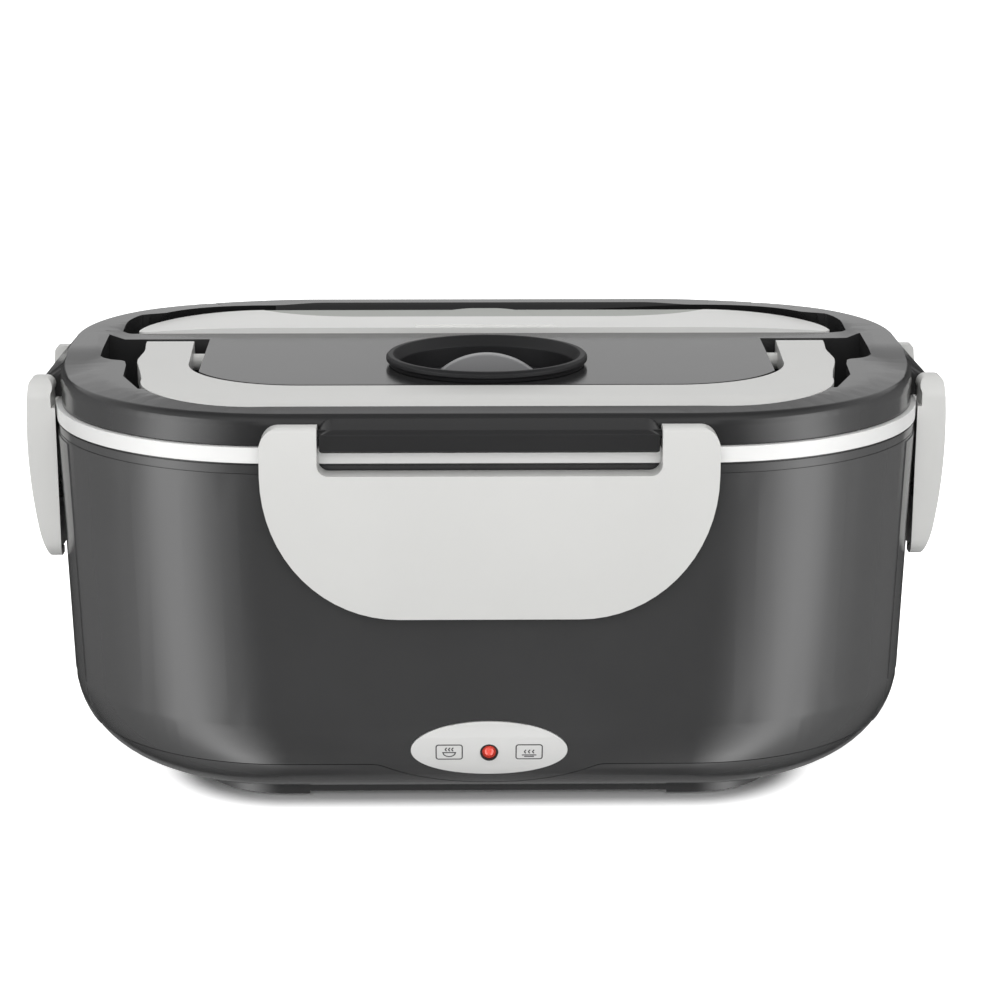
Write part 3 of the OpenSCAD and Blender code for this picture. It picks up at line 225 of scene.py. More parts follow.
CUP_LID = Finish("cup_lid_plastic", (0.5, 0.56, 0.6), 0.25, Grain.POLISHED)
STEEL = Finish("steel", (0.62, 0.62, 0.63), 0.28, Grain.BRUSHED, metallic=1.0)
ALUMINIUM = Finish("aluminium", (0.72, 0.72, 0.73), 0.4, Grain.SATIN, metallic=1.0)
BRASS = Finish("brass", (0.72, 0.55, 0.26), 0.3, Grain.POLISHED, metallic=1.0)
HEATER = Finish("heater", (0.45, 0.34, 0.26), 0.45, Grain.SATIN, metallic=0.6)
LAMP = Finish("lamp_red", (0.9, 0.09, 0.06), 0.15, Grain.POLISHED, coat=0.6)
# Painted shade: the case's plastic darkened for the low scoop floor, and the tab's face is given the same
# tone; the matt roughness is real.
SCOOP_SHADE = Finish("scoop_painted_shade", (0.40, 0.41, 0.39), 0.6, Grain.SATIN, mottle=0.02)
# Painted shade: steel darkened so that the latch pins, seen in the gaps beside the latch arms, show as shade.
PIN_SHADE_STEEL = Finish("pin_steel_painted_shade", (0.06, 0.06, 0.062), 0.4, Grain.BRUSHED, metallic=1.0)
BOARD = Finish("board", (0.02, 0.16, 0.05), 0.5, Grain.SATIN)
SYMBOL = Finish("symbol_ink", (0.045, 0.045, 0.047), 0.4, Grain.SATIN, mottle=0.01)

FINISHES = {f.name: f for f in (SHELL, LIGHT, BADGE, WHITE, BLACK, RUBBER, GREY, SILICONE, CUP_LID, STEEL,
                                ALUMINIUM, BRASS, HEATER, LAMP, BOARD)}


class Palette:
    """Builds each finish once and hands its material out."""

    def __init__(self) -> None:
        """Starts with no material built."""
        self._built: dict[str, bpy.types.Material] = {}

    def material(self, finish: Finish) -> bpy.types.Material:
        """Gives a finish's material.

        Args:
            finish: The finish that is wanted.

        Returns:
            Its material, built at the first call.
        """
        if finish.name not in self._built:
            self._built[finish.name] = finish.build()
        return self._built[finish.name]

    def dress(self, piece: bpy.types.Object, finish: Finish) -> None:
        """Puts a finish into every slot of a piece.

        Args:
            piece: The mesh object.
            finish: The finish that it gets.
        """
        material = self.material(finish)
        if not piece.material_slots:
            piece.data.materials.append(material)
        for holder in piece.material_slots:
            holder.material = material


# ---------------------------------------------------------------- mouldings


def read_points(mesh: bpy.types.Mesh) -> np.ndarray:
    """Reads a mesh's points.

    Args:
        mesh: The mesh.

    Returns:
        Its points, n by 3.
    """
    spots = np.empty(len(mesh.vertices) * 3)
    mesh.vertices.foreach_get("co", spots)
    return spots.reshape(-1, 3)


def ease(share: np.ndarray) -> np.ndarray:
    """Eases from 0 to 1: three times the square of the clipped share, less twice its cube."""
    part = np.clip(share, 0.0, 1.0)
    return part * part * (3.0 - 2.0 * part)


def ease_over(place: np.ndarray, span: Span) -> np.ndarray:
    """Eases from 0 to 1 over a span, which is given as its start and its length."""
    return ease((place - span[0]) / span[1])


def slice_across(work: bmesh.types.BMesh, part: list, axis: int, places: np.ndarray) -> list:
    """Cuts a mesh by planes square to an axis, so that it can bend.

    Args:
        work: The mesh.
        part: The faces, edges and points to cut.
        axis: 0 for x, 1 for y.
        places: Where the planes stand on that axis.

    Returns:
        The same part after the cuts.
    """
    normal = Vector((0, 0, 0))
    normal[axis] = 1
    for place in places:
        part = bmesh.ops.bisect_plane(work, geom=part, plane_co=normal * float(place), plane_no=normal,
                                      dist=CUT_SLACK)["geom"]
    return part


@dataclass
class SoftEdges:
    """A copy of a solid with its sharp edges rounded, as a mould leaves them.

    Angles are in degrees: edges sharper than sharp are rounded, and bends flatter than flat are merged.
    """

    MERGE: ClassVar[float] = 0.002 * MM
    EVEN_WEIGHT: ClassVar[int] = 80

    node: str
    finish: Finish
    radius: float
    segments: int = 3
    sharp: float = 28.0
    flat: float = 0.6
    slot: str = ""

    def cut(self, work: bmesh.types.BMesh) -> None:
        """Adds the points that the reshaping needs; a plain piece needs none."""

    def reshape(self, spots: np.ndarray) -> np.ndarray:
        """Gives the points' new places; a plain piece keeps its own."""
        return spots

    def paint(self, piece: bpy.types.Object, palette: Palette) -> None:
        """Puts the finish on the piece."""
        palette.dress(piece, self.finish)

    def build(self, frame: dict, palette: Palette) -> bpy.types.Object:
        """Makes the rounded copy and lets it stand for its node.

        Args:
            palette: The materials.

        Returns:
            The new piece, riding on the node's body.
        """
        solid = frame["nodes"][self.node]
        mesh = solid.data.copy()
        mesh.name = self.node + "_soft"
        work = bmesh.new()
        work.from_mesh(mesh)
        bmesh.ops.remove_doubles(work, verts=work.verts, dist=self.MERGE)
        self.cut(work)
        work.to_mesh(mesh)
        mesh.vertices.foreach_set("co", self.reshape(read_points(mesh)).ravel())
        work.clear()
        work.from_mesh(mesh)
        bmesh.ops.dissolve_limit(work, angle_limit=math.radians(self.flat), verts=work.verts,
                                 edges=work.edges, delimit={"NORMAL"})
        work.to_mesh(mesh)
        work.free()
        mesh.materials.clear()
        piece = bpy.data.objects.new(self.node + "_soft", mesh)
        bpy.context.scene.collection.objects.link(piece)
        mesh.polygons.foreach_set("use_smooth", np.ones(len(mesh.polygons), bool))
        bevel = piece.modifiers.new("soft_edges", "BEVEL")
        bevel.width = self.radius
        bevel.segments = self.segments
        bevel.limit_method = "ANGLE"
        bevel.angle_limit = math.radians(self.sharp)
        bevel.use_clamp_overlap = True
        even = piece.modifiers.new("even_normals", "WEIGHTED_NORMAL")
        even.mode = "FACE_AREA"
        even.weight = self.EVEN_WEIGHT
        even.keep_sharp = True
        self.paint(piece, palette)
        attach(piece, solid["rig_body"])
        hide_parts(self.node)
        return piece


@dataclass
class LidShell(SoftEdges):
    """The lid's moulding: its rim turns down before the handle and up beside and behind the case.

    half and corner give the skirt's rounded rectangle. The two values of tight are the share of the edge's
    width that is left at the front and at the rear. Spans are given as a start and a length.
    """

    SLACK: ClassVar[float] = 0.05 * MM
    ROUND_SLACK: ClassVar[float] = 0.12 * MM
    LEVEL_SLACK: ClassVar[float] = 0.02 * MM
    DECK_SLACK: ClassVar[float] = 0.1 * MM
    FACING_UP: ClassVar[float] = 0.999
    UPRIGHT: ClassVar[float] = 0.3

    half: tuple[float, float] = (109.2 * MM, 75.2 * MM)
    corner: float = 59.7 * MM
    deck: float = 103.5 * MM
    edge: float = 4.4 * MM
    tight: tuple[float, float] = (0.42, 0.14)
    steep: float = 0.68
    steep_loss: float = 0.46
    rear_span: Span = (-30 * MM, 28 * MM)
    side_span: Span = (62 * MM, 44 * MM)
    front_drop: float = 0.9 * MM
    back_rise: float = 0.6 * MM
    side_rise: float = 1.0 * MM
    bow: float = 0.8 * MM
    strip: float = 8.0 * MM
    strip_more: float = 4.0 * MM
    strip_run: float = 5.0 * MM
    grid: float = 3.0 * MM
    lip: float = 4.4 * MM
    lip_y: Span = (44 * MM, 8 * MM)
    lip_x: Span = (46 * MM, 16 * MM)
    lip_run: float = 0.6 * MM
    lip_reach: float = 7.5 * MM
    recess_low: float = 98 * MM
    brim_low: float = 102 * MM
    lug_slope: float = 0.5
    lug_low: float = 98.5 * MM
    lug_top: float = 102.1 * MM
    lug_face: float = 100.5 * MM
    lug_out: float = 5.3 * MM
    brim: list[int] = field(default_factory=list)

    def cut(self, work: bmesh.types.BMesh) -> None:
        """Cuts the deck into a grid and notes the upper edge of the recess's rear corners.

        Args:
            work: The lid's mesh.
        """
        work.normal_update()
        deck = [face for face in work.faces if face.normal.z > self.FACING_UP
                and face.calc_center_median().z > self.deck - self.DECK_SLACK]
        part = list(dict.fromkeys([item for face in deck for item in (face, *face.edges, *face.verts)]))
        for axis, reach in enumerate(self.half):
            part = slice_across(work, part, axis, np.arange(self.grid - reach, reach, self.grid))
        work.verts.index_update()
        walls = [face for face in work.faces if self._recess_wall(face)]
        self.brim = sorted({vert.index for face in walls for vert in face.verts if vert.co.z > self.brim_low})

    def _recess_wall(self, face: bmesh.types.BMFace) -> bool:
        """Tells the recess's rear corner walls, which face in, from other faces.

        Args:
            face: A face of the lid.

        Returns:
            Whether it belongs to those walls.
        """
        middle = face.calc_center_median()
        inward = face.normal.x * middle.x + face.normal.y * middle.y < 0
        corner = abs(middle.x) > self.lip_x[0] and middle.y > self.lip_y[0] and middle.z > self.recess_low
        return abs(face.normal.z) < self.UPRIGHT and inward and corner

    def _inset(self, spots: np.ndarray) -> tuple[np.ndarray, np.ndarray]:
        """Measures how far points stand in from the skirt.

        The skirt is a rounded rectangle: the distance is its corner radius less the length of the part of
        the point that lies beyond the corner centres.

        Args:
            spots: The points, n by 3.

        Returns:
            The inset, below 0 outside the skirt, and the outward direction, n by 2.
        """
        folded = np.abs(spots[:, :2]) - (np.array(self.half) - self.corner)
        beyond = np.maximum(folded, 0.0)
        length = np.linalg.norm(beyond, axis=1)
        inset = self.corner - length - np.minimum(folded.max(axis=1), 0.0)
        outward = beyond / np.maximum(length, 1e-9)[:, None] * np.sign(spots[:, :2])
        return inset, outward

    def reshape(self, spots: np.ndarray) -> np.ndarray:
        """Bends the rim and slopes the lugs' tops.

        The round of the edge is drawn in to a share of its width. The deck's rim drops or rises with its
        place from front to back, and the change runs out over the strip inside it. The recess's edge at
        the rear corners comes up to the rim's level and in by the lip. A lug's top sinks with its way out
        from the skirt and with its height in the lug.

        Args:
            spots: The points, n by 3.

        Returns:
            Their new places, n by 3.
        """
        moved = spots.copy()
        x, y, z = spots.T
        inset, outward = self._inset(spots)
        drop = self.deck - z
        brim = np.zeros(len(spots), bool)
        brim[self.brim] = True
        rear = ease_over(y, self.rear_span)
        side = ease_over(np.abs(x), self.side_span)
        lift = rear * (self.back_rise + self.side_rise * side) - (1 - rear) * self.front_drop
        off_round = np.abs(np.hypot(self.edge - inset, self.edge - drop) - self.edge)
        arc = ((off_round < self.ROUND_SLACK) & (np.maximum(inset, drop) < self.edge + self.SLACK)
               & (inset > -self.SLACK) & ~brim)
        width = self.tight[0] + (self.tight[1] - self.tight[0]) * rear
        out = arc * (inset * (1 - width) + self.bow * rear * side)
        moved[:, 2] = np.where(arc, self.deck + lift - drop * (self.steep - self.steep_loss * rear), z)
        moved[:, 2] = np.where(brim, self.deck + lift, moved[:, 2])
        wide = self.strip + self.strip_more
        fade = ((1 - rear) * ease((self.strip - inset) / (self.strip - self.edge * self.tight[0]))
                + rear * ease((wide - inset) / self.strip_run))
        deck = ~arc & ~brim & (drop < self.LEVEL_SLACK) & (inset < wide) & (inset > 0)
        moved[:, 2] += deck * lift * fade
        far = ease_over(y, self.lip_y) * ease_over(np.abs(x), self.lip_x)
        near_rim = np.clip((inset - self.edge) / self.lip_run, 0.0, 1.0) * (inset < self.lip_reach)
        out -= deck * self.lip * far * near_rim
        out -= brim * self.lip * far
        moved[:, :2] += outward * out[:, None]
        lug = (inset < -self.SLACK) & (z > self.lug_low) & ((z > self.lug_face) | (inset < -self.lug_out))
        moved[:, 2] += lug * inset * self.lug_slope * (z - self.lug_low) / (self.lug_top - self.lug_low)
        return moved


@dataclass
class CaseCover(SoftEdges):
    """The case's cover: its ends fall to the deck, and the scoop's floor and the tab get a matt finish whose
    darker colour is painted shade.

    Its top falls evenly from the scoop's front edge to the back, by fall times the way.
    """

    SLACK: ClassVar[float] = 0.3 * MM
    FLOOR_SLACK: ClassVar[float] = 0.02 * MM
    FACING_UP: ClassVar[float] = 0.9

    end_start: float = 60.0 * MM
    end_reach: float = 94.8 * MM
    end_tip: float = 3.0 * MM
    end_cuts: int = 7
    end_drop: float = 1.3 * MM
    plate_low: float = 102.6 * MM
    scoop_y: float = 46.3 * MM
    scoop_half: float = 76.0 * MM
    scoop_low: float = 101.45 * MM
    scoop_depth: float = 0.2 * MM
    floor_low: float = 102.95 * MM
    floor_rise: float = 0.45 * MM
    top: float = 104.1 * MM
    fall: float = 0.0415
    tab_y: float = 47.9 * MM
    tab_r: float = 13.4 * MM
    tab_lift: float = 0.4 * MM
    back: float = 60.6 * MM

    def cut(self, work: bmesh.types.BMesh) -> None:
        """Cuts the ends across, so that they can bend.

        Args:
            work: The cover's mesh.
        """
        for place in np.linspace(self.end_start, self.end_reach - self.end_tip, self.end_cuts):
            for side in (-1, 1):
                slice_across(work, [*work.verts, *work.edges, *work.faces], 0, [side * place])

    def reshape(self, spots: np.ndarray) -> np.ndarray:
        """Levels the scoop's floor and the tab, and lets the ends fall with the square of the distance.

        The floor's points are the ones well below the cover's top, which itself falls evenly to the back.

        Args:
            spots: The points, n by 3.

        Returns:
            Their new places, n by 3.
        """
        moved = spots.copy()
        x, y, z = spots.T
        share = (y - self.scoop_y) / (self.back - self.scoop_y)
        depth = self.top - self.fall * (y - self.scoop_y) - z
        scoop = (np.abs(x) < self.scoop_half) & (y > self.scoop_y) & (z > self.scoop_low)
        floor = scoop & (depth > self.scoop_depth)
        tab = scoop & ~floor & (np.hypot(x, y - self.tab_y) < self.tab_r)
        level = self.floor_low + self.floor_rise * share
        moved[:, 2] = np.where(floor, level, z + tab * self.tab_lift * share)
        far = np.clip((np.abs(x) - self.end_start) / (self.end_reach - self.end_start), 0.0, 1.0)
        moved[:, 2] -= (z > self.plate_low) * ~floor * self.end_drop * far ** 2
        return moved

    def paint(self, piece: bpy.types.Object, palette: Palette) -> None:
        """Puts the matt finish, darkened as painted shade, on the scoop's floor and on the tab's face.

        Args:
            piece: The cover.
            palette: The materials.
        """
        palette.dress(piece, self.finish)
        mesh = piece.data
        # The second slot paints the shade of the scoop's floor, and of the tab's face, as a darker colour.
        mesh.materials.append(palette.material(SCOOP_SHADE))
        count = len(mesh.polygons)
        first, normal = np.empty(count, np.int32), np.empty(count * 3)
        mesh.polygons.foreach_get("loop_start", first)
        mesh.polygons.foreach_get("normal", normal)
        ring = np.empty(len(mesh.loops), np.int32)
        mesh.loops.foreach_get("vertex_index", ring)
        x, y, z = read_points(mesh)[ring].T
        behind = np.minimum.reduceat(y, first) > self.scoop_y - self.SLACK
        low = np.maximum.reduceat(z, first) < self.floor_low + self.floor_rise + self.FLOOR_SLACK
        floor = (np.maximum.reduceat(np.abs(x), first) < self.scoop_half) & low
        tab = np.maximum.reduceat(np.hypot(x, y - self.tab_y), first) < self.tab_r + self.SLACK
        up = normal.reshape(-1, 3)[:, 2] > self.FACING_UP
        mesh.polygons.foreach_set("material_index", (up & behind & (floor | tab)).astype(np.int32))


@dataclass
class Handle(SoftEdges):
    """The strap handle: its arms' outer sides run into the corners in one soft curve.

    The waist and the swell are each a bell curve of the depth, given as its middle and its width.
    """

    waist: float = 0.5 * MM
    waist_bell: Span = (0.5 * MM, 6 * MM)
    swell: float = 0.6 * MM
    swell_bell: Span = (-17 * MM, 9 * MM)
    outer_span: Span = (84 * MM, 6 * MM)
    cuts: tuple[float, float, float] = (-33 * MM, 14 * MM, 3 * MM)

    def cut(self, work: bmesh.types.BMesh) -> None:
        """Cuts the arms across, so that their sides can bend.

        Args:
            work: The handle's mesh.
        """
        for place in np.arange(*self.cuts):
            slice_across(work, [*work.verts, *work.edges, *work.faces], 1, [place])

    def reshape(self, spots: np.ndarray) -> np.ndarray:
        """Draws the sides in at the arms and out at the corners.

        Args:
            spots: The points, n by 3.

        Returns:
            Their new places, n by 3.
        """
        moved = spots.copy()
        x, y, _ = spots.T
        bend = self.swell * self._bell(y, self.swell_bell) - self.waist * self._bell(y, self.waist_bell)
        moved[:, 0] += np.sign(x) * ease_over(np.abs(x), self.outer_span) * bend
        return moved

    @staticmethod
    def _bell(place: np.ndarray, bell: Span) -> np.ndarray:
        """Gives e to the power of minus the square of the way from the bell's middle over its width."""
        return np.exp(-((place - bell[0]) / bell[1]) ** 2)


@dataclass
class BadgeSymbols:
    """Plain printed signs on the badge: a warm bowl and a plate warmer, each in a frame.

    The signs' own sizes, from the bowl's to the steam's, are in millimetres about a sign's middle. A level
    line is given as its half width and its height. Steam is given as the way between its lines and the way
    that they are let down.
    """

    STEP: ClassVar[float] = 0.25 * MM
    TINY: ClassVar[float] = 1e-7
    HULL_PASSES: ClassVar[int] = 12
    BEND_POINTS: ClassVar[int] = 6
    BOWL_POINTS: ClassVar[int] = 17
    STEAM_POINTS: ClassVar[int] = 9

    node: str = "panel_badge"
    frame_x: float = 9.8 * MM
    frame_z: float = 17.6 * MM
    frame_half: tuple[float, float] = (3.2 * MM, 2.1 * MM)
    line: float = 0.3 * MM
    frame_corner: float = 0.6 * MM
    lift: float = 0.03 * MM
    bowl_half: float = 1.5
    bowl_depth: float = 1.2
    bowl_rim: Span = (1.7, -0.1)
    plate: Span = (1.8, -0.9)
    plate_foot: Span = (1.2, -1.35)
    bowl_steam: Span = (0.8, 0.0)
    plate_steam: Span = (1.0, 0.7)
    steam_ends: Span = (0.3, 1.35)
    steam_sway: float = 0.16
    steam_waves: float = 6.0

    def _border(self) -> np.ndarray:
        """Draws the frame round a sign: four quarter turns, one at each corner, joined in a ring.

        Returns:
            The ring's points, (x, z), about the sign's middle.
        """
        wide, high = (half - self.frame_corner for half in self.frame_half)
        turn = np.linspace(0.0, np.pi / 2, self.BEND_POINTS)
        quarter = np.stack([np.cos(turn), np.sin(turn)], axis=1) * self.frame_corner
        run = []
        for step, (sx, sz) in enumerate(((1, 1), (-1, 1), (-1, -1), (1, -1))):
            bend = quarter * (sx, sz)
            run.append((bend if step % 2 == 0 else bend[::-1]) + (sx * wide, sz * high))
        return np.concatenate(run + [run[0][:1]])

    @staticmethod
    def _level(half: float, height: float) -> np.ndarray:
        """Draws a level line: its two ends, (x, z), about the sign's middle."""
        return np.array([[-half, height], [half, height]]) * MM

    def _steam(self, apart: float, sink: float) -> list[np.ndarray]:
        """Draws three wavy lines of rising steam, each a sine of the height.

        Args:
            apart: The way from one line to the next, in millimetres.
            sink: How far they are let down, in millimetres.

        Returns:
            The lines' points, (x, z), about the sign's middle.
        """
        rise = np.linspace(*self.steam_ends, self.STEAM_POINTS)
        sway = self.steam_sway * np.sin(rise * self.steam_waves)
        return [np.stack([x + sway, rise - sink], axis=1) * MM for x in (-apart, 0.0, apart)]

    def _strokes(self) -> list[np.ndarray]:
        """Draws both signs about their middles and puts them in their places; the bowl is half an ellipse.

        Returns:
            The lines, each a run of (x, z) points seen from the front.
        """
        turn = np.linspace(np.pi, 2 * np.pi, self.BOWL_POINTS)
        hollow = self.bowl_rim[1] + self.bowl_depth * np.sin(turn)
        bowl = np.stack([self.bowl_half * np.cos(turn), hollow], axis=1) * MM
        left = [self._border(), bowl, self._level(*self.bowl_rim), *self._steam(*self.bowl_steam)]
        right = [self._border(), self._level(*self.plate), self._level(*self.plate_foot),
                 *self._steam(*self.plate_steam)]
        return ([part + (-self.frame_x, self.frame_z) for part in left]
                + [part + (self.frame_x, self.frame_z) for part in right])

    def _finer(self, run: np.ndarray) -> np.ndarray:
        """Adds points along a line at even steps of its length, so that it follows a curved face.

        Args:
            run: The line's points, (x, z).

        Returns:
            The same line with more points.
        """
        length = np.concatenate([[0.0], np.cumsum(np.linalg.norm(np.diff(run, axis=0), axis=1))])
        even = np.linspace(0.0, length[-1], max(2, int(length[-1] / self.STEP)))
        steps = np.unique(np.concatenate([length, even]))
        steps = steps[np.concatenate([[True], np.diff(steps) > self.TINY])]
        return np.column_stack([np.interp(steps, length, run[:, axis]) for axis in (0, 1)])

    def _ribbon(self, run: np.ndarray) -> np.ndarray:
        """Widens a line into two rows of points.

        Args:
            run: The line's points, (x, z).

        Returns:
            Both edges, stacked: an array of 2 by n by 2.
        """
        closed = np.allclose(run[0], run[-1])
        tangent = np.gradient(run, axis=0)
        if closed:
            tangent[0] = tangent[-1] = run[1] - run[-2]
        tangent /= np.linalg.norm(tangent, axis=1, keepdims=True)
        side = np.stack([-tangent[:, 1], tangent[:, 0]], axis=1) * self.line / 2
        return np.stack([run + side, run - side])

    def _face_profile(self, spots: np.ndarray) -> tuple[np.ndarray, np.ndarray]:
        """Reads the badge's front: the foremost point at each height, without the ones that lie in a dent.

        A point is in a dent when it stands behind the chord between its neighbours.

        Args:
            spots: The badge's points, n by 3.

        Returns:
            The heights and the depth of the front at each.
        """
        levels, level_of = np.unique(np.round(spots[:, 2], 5), return_inverse=True)
        front = np.full(len(levels), np.inf)
        np.minimum.at(front, level_of.ravel(), spots[:, 1])
        for _ in range(self.HULL_PASSES):
            share = (levels[1:-1] - levels[:-2]) / (levels[2:] - levels[:-2])
            chord = front[:-2] + (front[2:] - front[:-2]) * share
            keep = np.concatenate([[True], front[1:-1] <= chord + self.TINY, [True]])
            levels, front = levels[keep], front[keep]
        return levels, front

    def build(self, frame: dict, palette: Palette) -> bpy.types.Object:
        """Prints the signs on the badge's curved face.

        Args:
            palette: The materials.

        Returns:
            The signs, riding on the badge's body.
        """
        solid = frame["nodes"][self.node]
        levels, front = self._face_profile(read_points(solid.data))
        points, faces, start = [], [], 0
        for run in map(self._finer, self._strokes()):
            flat = self._ribbon(run).reshape(-1, 2)
            depth = np.interp(flat[:, 1], levels, front) - self.lift
            points.append(np.column_stack([flat[:, 0], depth, flat[:, 1]]))
            n = len(run)
            row = np.arange(n - 1) + start
            faces.append(np.column_stack([row, row + 1, row + 1 + n, row + n]))
            start += 2 * n
        mesh = bpy.data.meshes.new("badge_symbols")
        mesh.from_pydata(np.concatenate(points).tolist(), [], np.concatenate(faces).tolist())
        piece = bpy.data.objects.new("badge_symbols", mesh)
        bpy.context.scene.collection.objects.link(piece)
        palette.dress(piece, SYMBOL)
        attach(piece, solid["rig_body"])
        return piece


# ---------------------------------------------------------------- studio


@dataclass
class Studio:
    """White floor and backdrop, soft cards, lamps and the camera.

    The glow of the cards is given over the turn from the front in degrees, and their rows as rise, extra turn
    and level. The sky's glow is given over the height, from 0 straight down to 1 straight up. A lamp is given
    as its centre, its side and its watts. The floor's glow is painted light that starts past the pan's
    rounded rectangle, which leaves a painted band of shadow round the pan.
    """

    distance: float = 0.675
    elevation: float = 15.445
    azimuth: float = -0.624
    aim_height: float = 0.05
    lens: float = 90.04
    sensor: float = 36.0
    near: float = 0.01
    shift_x: float = 0.0141
    shift_y: float = 0.0450
    ambient: float = 0.62
    card_strength: float = 4.0
    card_radius: float = 1.5
    card_columns: int = 49
    card_glow: tuple[Span, ...] = (
        (16, 0.01), (25, 0.07), (30, 0.18), (36, 0.36), (42.5, 0.57), (50, 0.8), (57, 1.0), (64, 0.93),
        (71.5, 0.66), (80, 0.34), (90, 0.24), (100, 0.17), (113, 0.13), (140, 0.045), (160, 0.0))
    card_rows: tuple[tuple[float, float, float], ...] = (
        (22, 0, 1.0), (-12, 0, 1.0), (-18, 0, 1.0), (-21, -5, 1.0), (-26, -9, 1.0), (-45, -11, 1.0),
        (-62, -9, 1.0), (-72, -3, 0.75), (-80, 0, 0.3), (-86, 0, 0.0))
    sky_glow: tuple[Span, ...] = (
        (0.2, 0.3), (0.4, 0.12), (0.44, 0.1), (0.54, 0.7), (0.68, 0.75), (0.82, 0.6), (0.92, 0.2),
        (0.97, 0.12))
    floor_half: float = 6.0
    floor_shade: float = 0.9
    floor_glow: float = 0.9
    pan_half: Span = (0.0505, 0.0338)
    pan_corner: float = 0.024
    shadow_reach: float = 0.011
    top_lamp: tuple[Place, float, float] = ((0.0, -0.1, 1.2), 1.2, 4.0)
    front_lamp: tuple[Place, float, float] = ((0.0, -1.3, 0.5), 1.0, 8.5)

    def build(self) -> None:
        """Builds floor, world, cards and camera."""
        bpy.context.scene.view_settings.view_transform = "Standard"
        self._floor()
        self._world()
        self._card("card_left", -1)
        self._card("card_right", 1)
        self._lamp("top_lamp", *self.top_lamp)
        self._lamp("front_lamp", *self.front_lamp)
        self._camera()

    def _camera(self) -> None:
        """Places the camera in front of the box, slightly above it."""
        camera = bpy.data.objects.new("camera", bpy.data.cameras.new("camera"))
        bpy.context.scene.collection.objects.link(camera)
        up, turn = math.radians(self.elevation), math.radians(self.azimuth)
        back = Vector((math.sin(turn) * math.cos(up), -math.cos(turn) * math.cos(up), math.sin(up)))
        right = Vector((math.cos(turn), math.sin(turn), 0.0))
        above = back.cross(right)
        place = Vector((0.0, 0.0, self.aim_height)) + self.distance * back
        camera.matrix_world = Matrix.Translation(place) @ Matrix((right, above, back)).transposed().to_4x4()
        camera.data.lens = self.lens
        camera.data.sensor_width = self.sensor
        camera.data.shift_x = self.shift_x
        camera.data.shift_y = self.shift_y
        camera.data.clip_start = self.near
        bpy.context.scene.camera = camera

    def _floor(self) -> None:
        """Lays a white floor: its painted glow is left out near the pan, so that the box's shadow shows only
        in that band.
        """
        mesh = bpy.data.meshes.new("floor")
        half = self.floor_half
        mesh.from_pydata([(-half, -half, 0), (half, -half, 0), (half, half, 0), (-half, half, 0)], [],
                         [(0, 1, 2, 3)])
        floor = bpy.data.objects.new("floor", mesh)
        bpy.context.scene.collection.objects.link(floor)
        material = bpy.data.materials.new("floor_white")
        material.use_nodes = True
        tree = material.node_tree
        shader = tree.nodes["Principled BSDF"]
        shader.inputs["Base Color"].default_value = (*(self.floor_shade,) * 3, 1.0)
        shader.inputs["Roughness"].default_value = 1.0
        shader.inputs["Specular IOR Level"].default_value = 0.0
        # Painted light: the floor glows for camera rays except over and near the pan, a painted
        # contact-shadow band.
        glow = tree.nodes.new("ShaderNodeEmission")
        tree.links.new(self._painted_glow(tree), glow.inputs["Strength"])
        both = tree.nodes.new("ShaderNodeAddShader")
        seen = self._seen(tree)
        pick = tree.nodes.new("ShaderNodeMixShader")
        tree.links.new(shader.outputs[0], both.inputs[0])
        tree.links.new(glow.outputs[0], both.inputs[1])
        tree.links.new(seen, pick.inputs["Fac"])
        tree.links.new(shader.outputs[0], pick.inputs[1])
        tree.links.new(both.outputs[0], pick.inputs[2])
        tree.links.new(pick.outputs[0], tree.nodes["Material Output"].inputs["Surface"])
        mesh.materials.append(material)
        floor.visible_glossy = False

    def _painted_glow(self, tree: bpy.types.NodeTree) -> bpy.types.NodeSocket:
        """Adds the floor's painted glow, which rises from 0 under the box to full a little way out from its
        pan and so paints where the shadow shows.

        Args:
            tree: The floor's nodes.

        Returns:
            The glow's strength at each place on the floor.
        """
        spot = tree.nodes.new("ShaderNodeTexCoord").outputs["Object"]
        folded = self._vector(tree, "ABSOLUTE", spot)
        past = self._vector(tree, "SUBTRACT", folded, Vector((*self.pan_half, 0.0)))
        beyond = self._vector(tree, "MAXIMUM", past, Vector((0, 0, 0)))
        reach = self._vector(tree, "LENGTH", beyond)
        rise = tree.nodes.new("ShaderNodeMapRange")
        rise.interpolation_type = "SMOOTHSTEP"
        rise.inputs["From Min"].default_value = self.pan_corner
        rise.inputs["From Max"].default_value = self.pan_corner + self.shadow_reach
        rise.inputs["To Min"].default_value = 0.0
        rise.inputs["To Max"].default_value = self.floor_glow
        tree.links.new(reach, rise.inputs["Value"])
        return rise.outputs["Result"]

    @staticmethod
    def _vector(tree: bpy.types.NodeTree, operation: str, first: bpy.types.NodeSocket,
                second: Vector | bpy.types.NodeSocket | None = None) -> bpy.types.NodeSocket:
        """Adds one vector operation.

        Args:
            tree: The nodes to add it to.
            operation: The name of the operation.
            first: Its first input.
            second: Its second input, a socket or a constant.

        Returns:
            The result's socket.
        """
        node = tree.nodes.new("ShaderNodeVectorMath")
        node.operation = operation
        tree.links.new(first, node.inputs[0])
        if isinstance(second, Vector):
            node.inputs[1].default_value = second
        elif second is not None:
            tree.links.new(second, node.inputs[1])
        return node.outputs["Value" if operation == "LENGTH" else "Vector"]

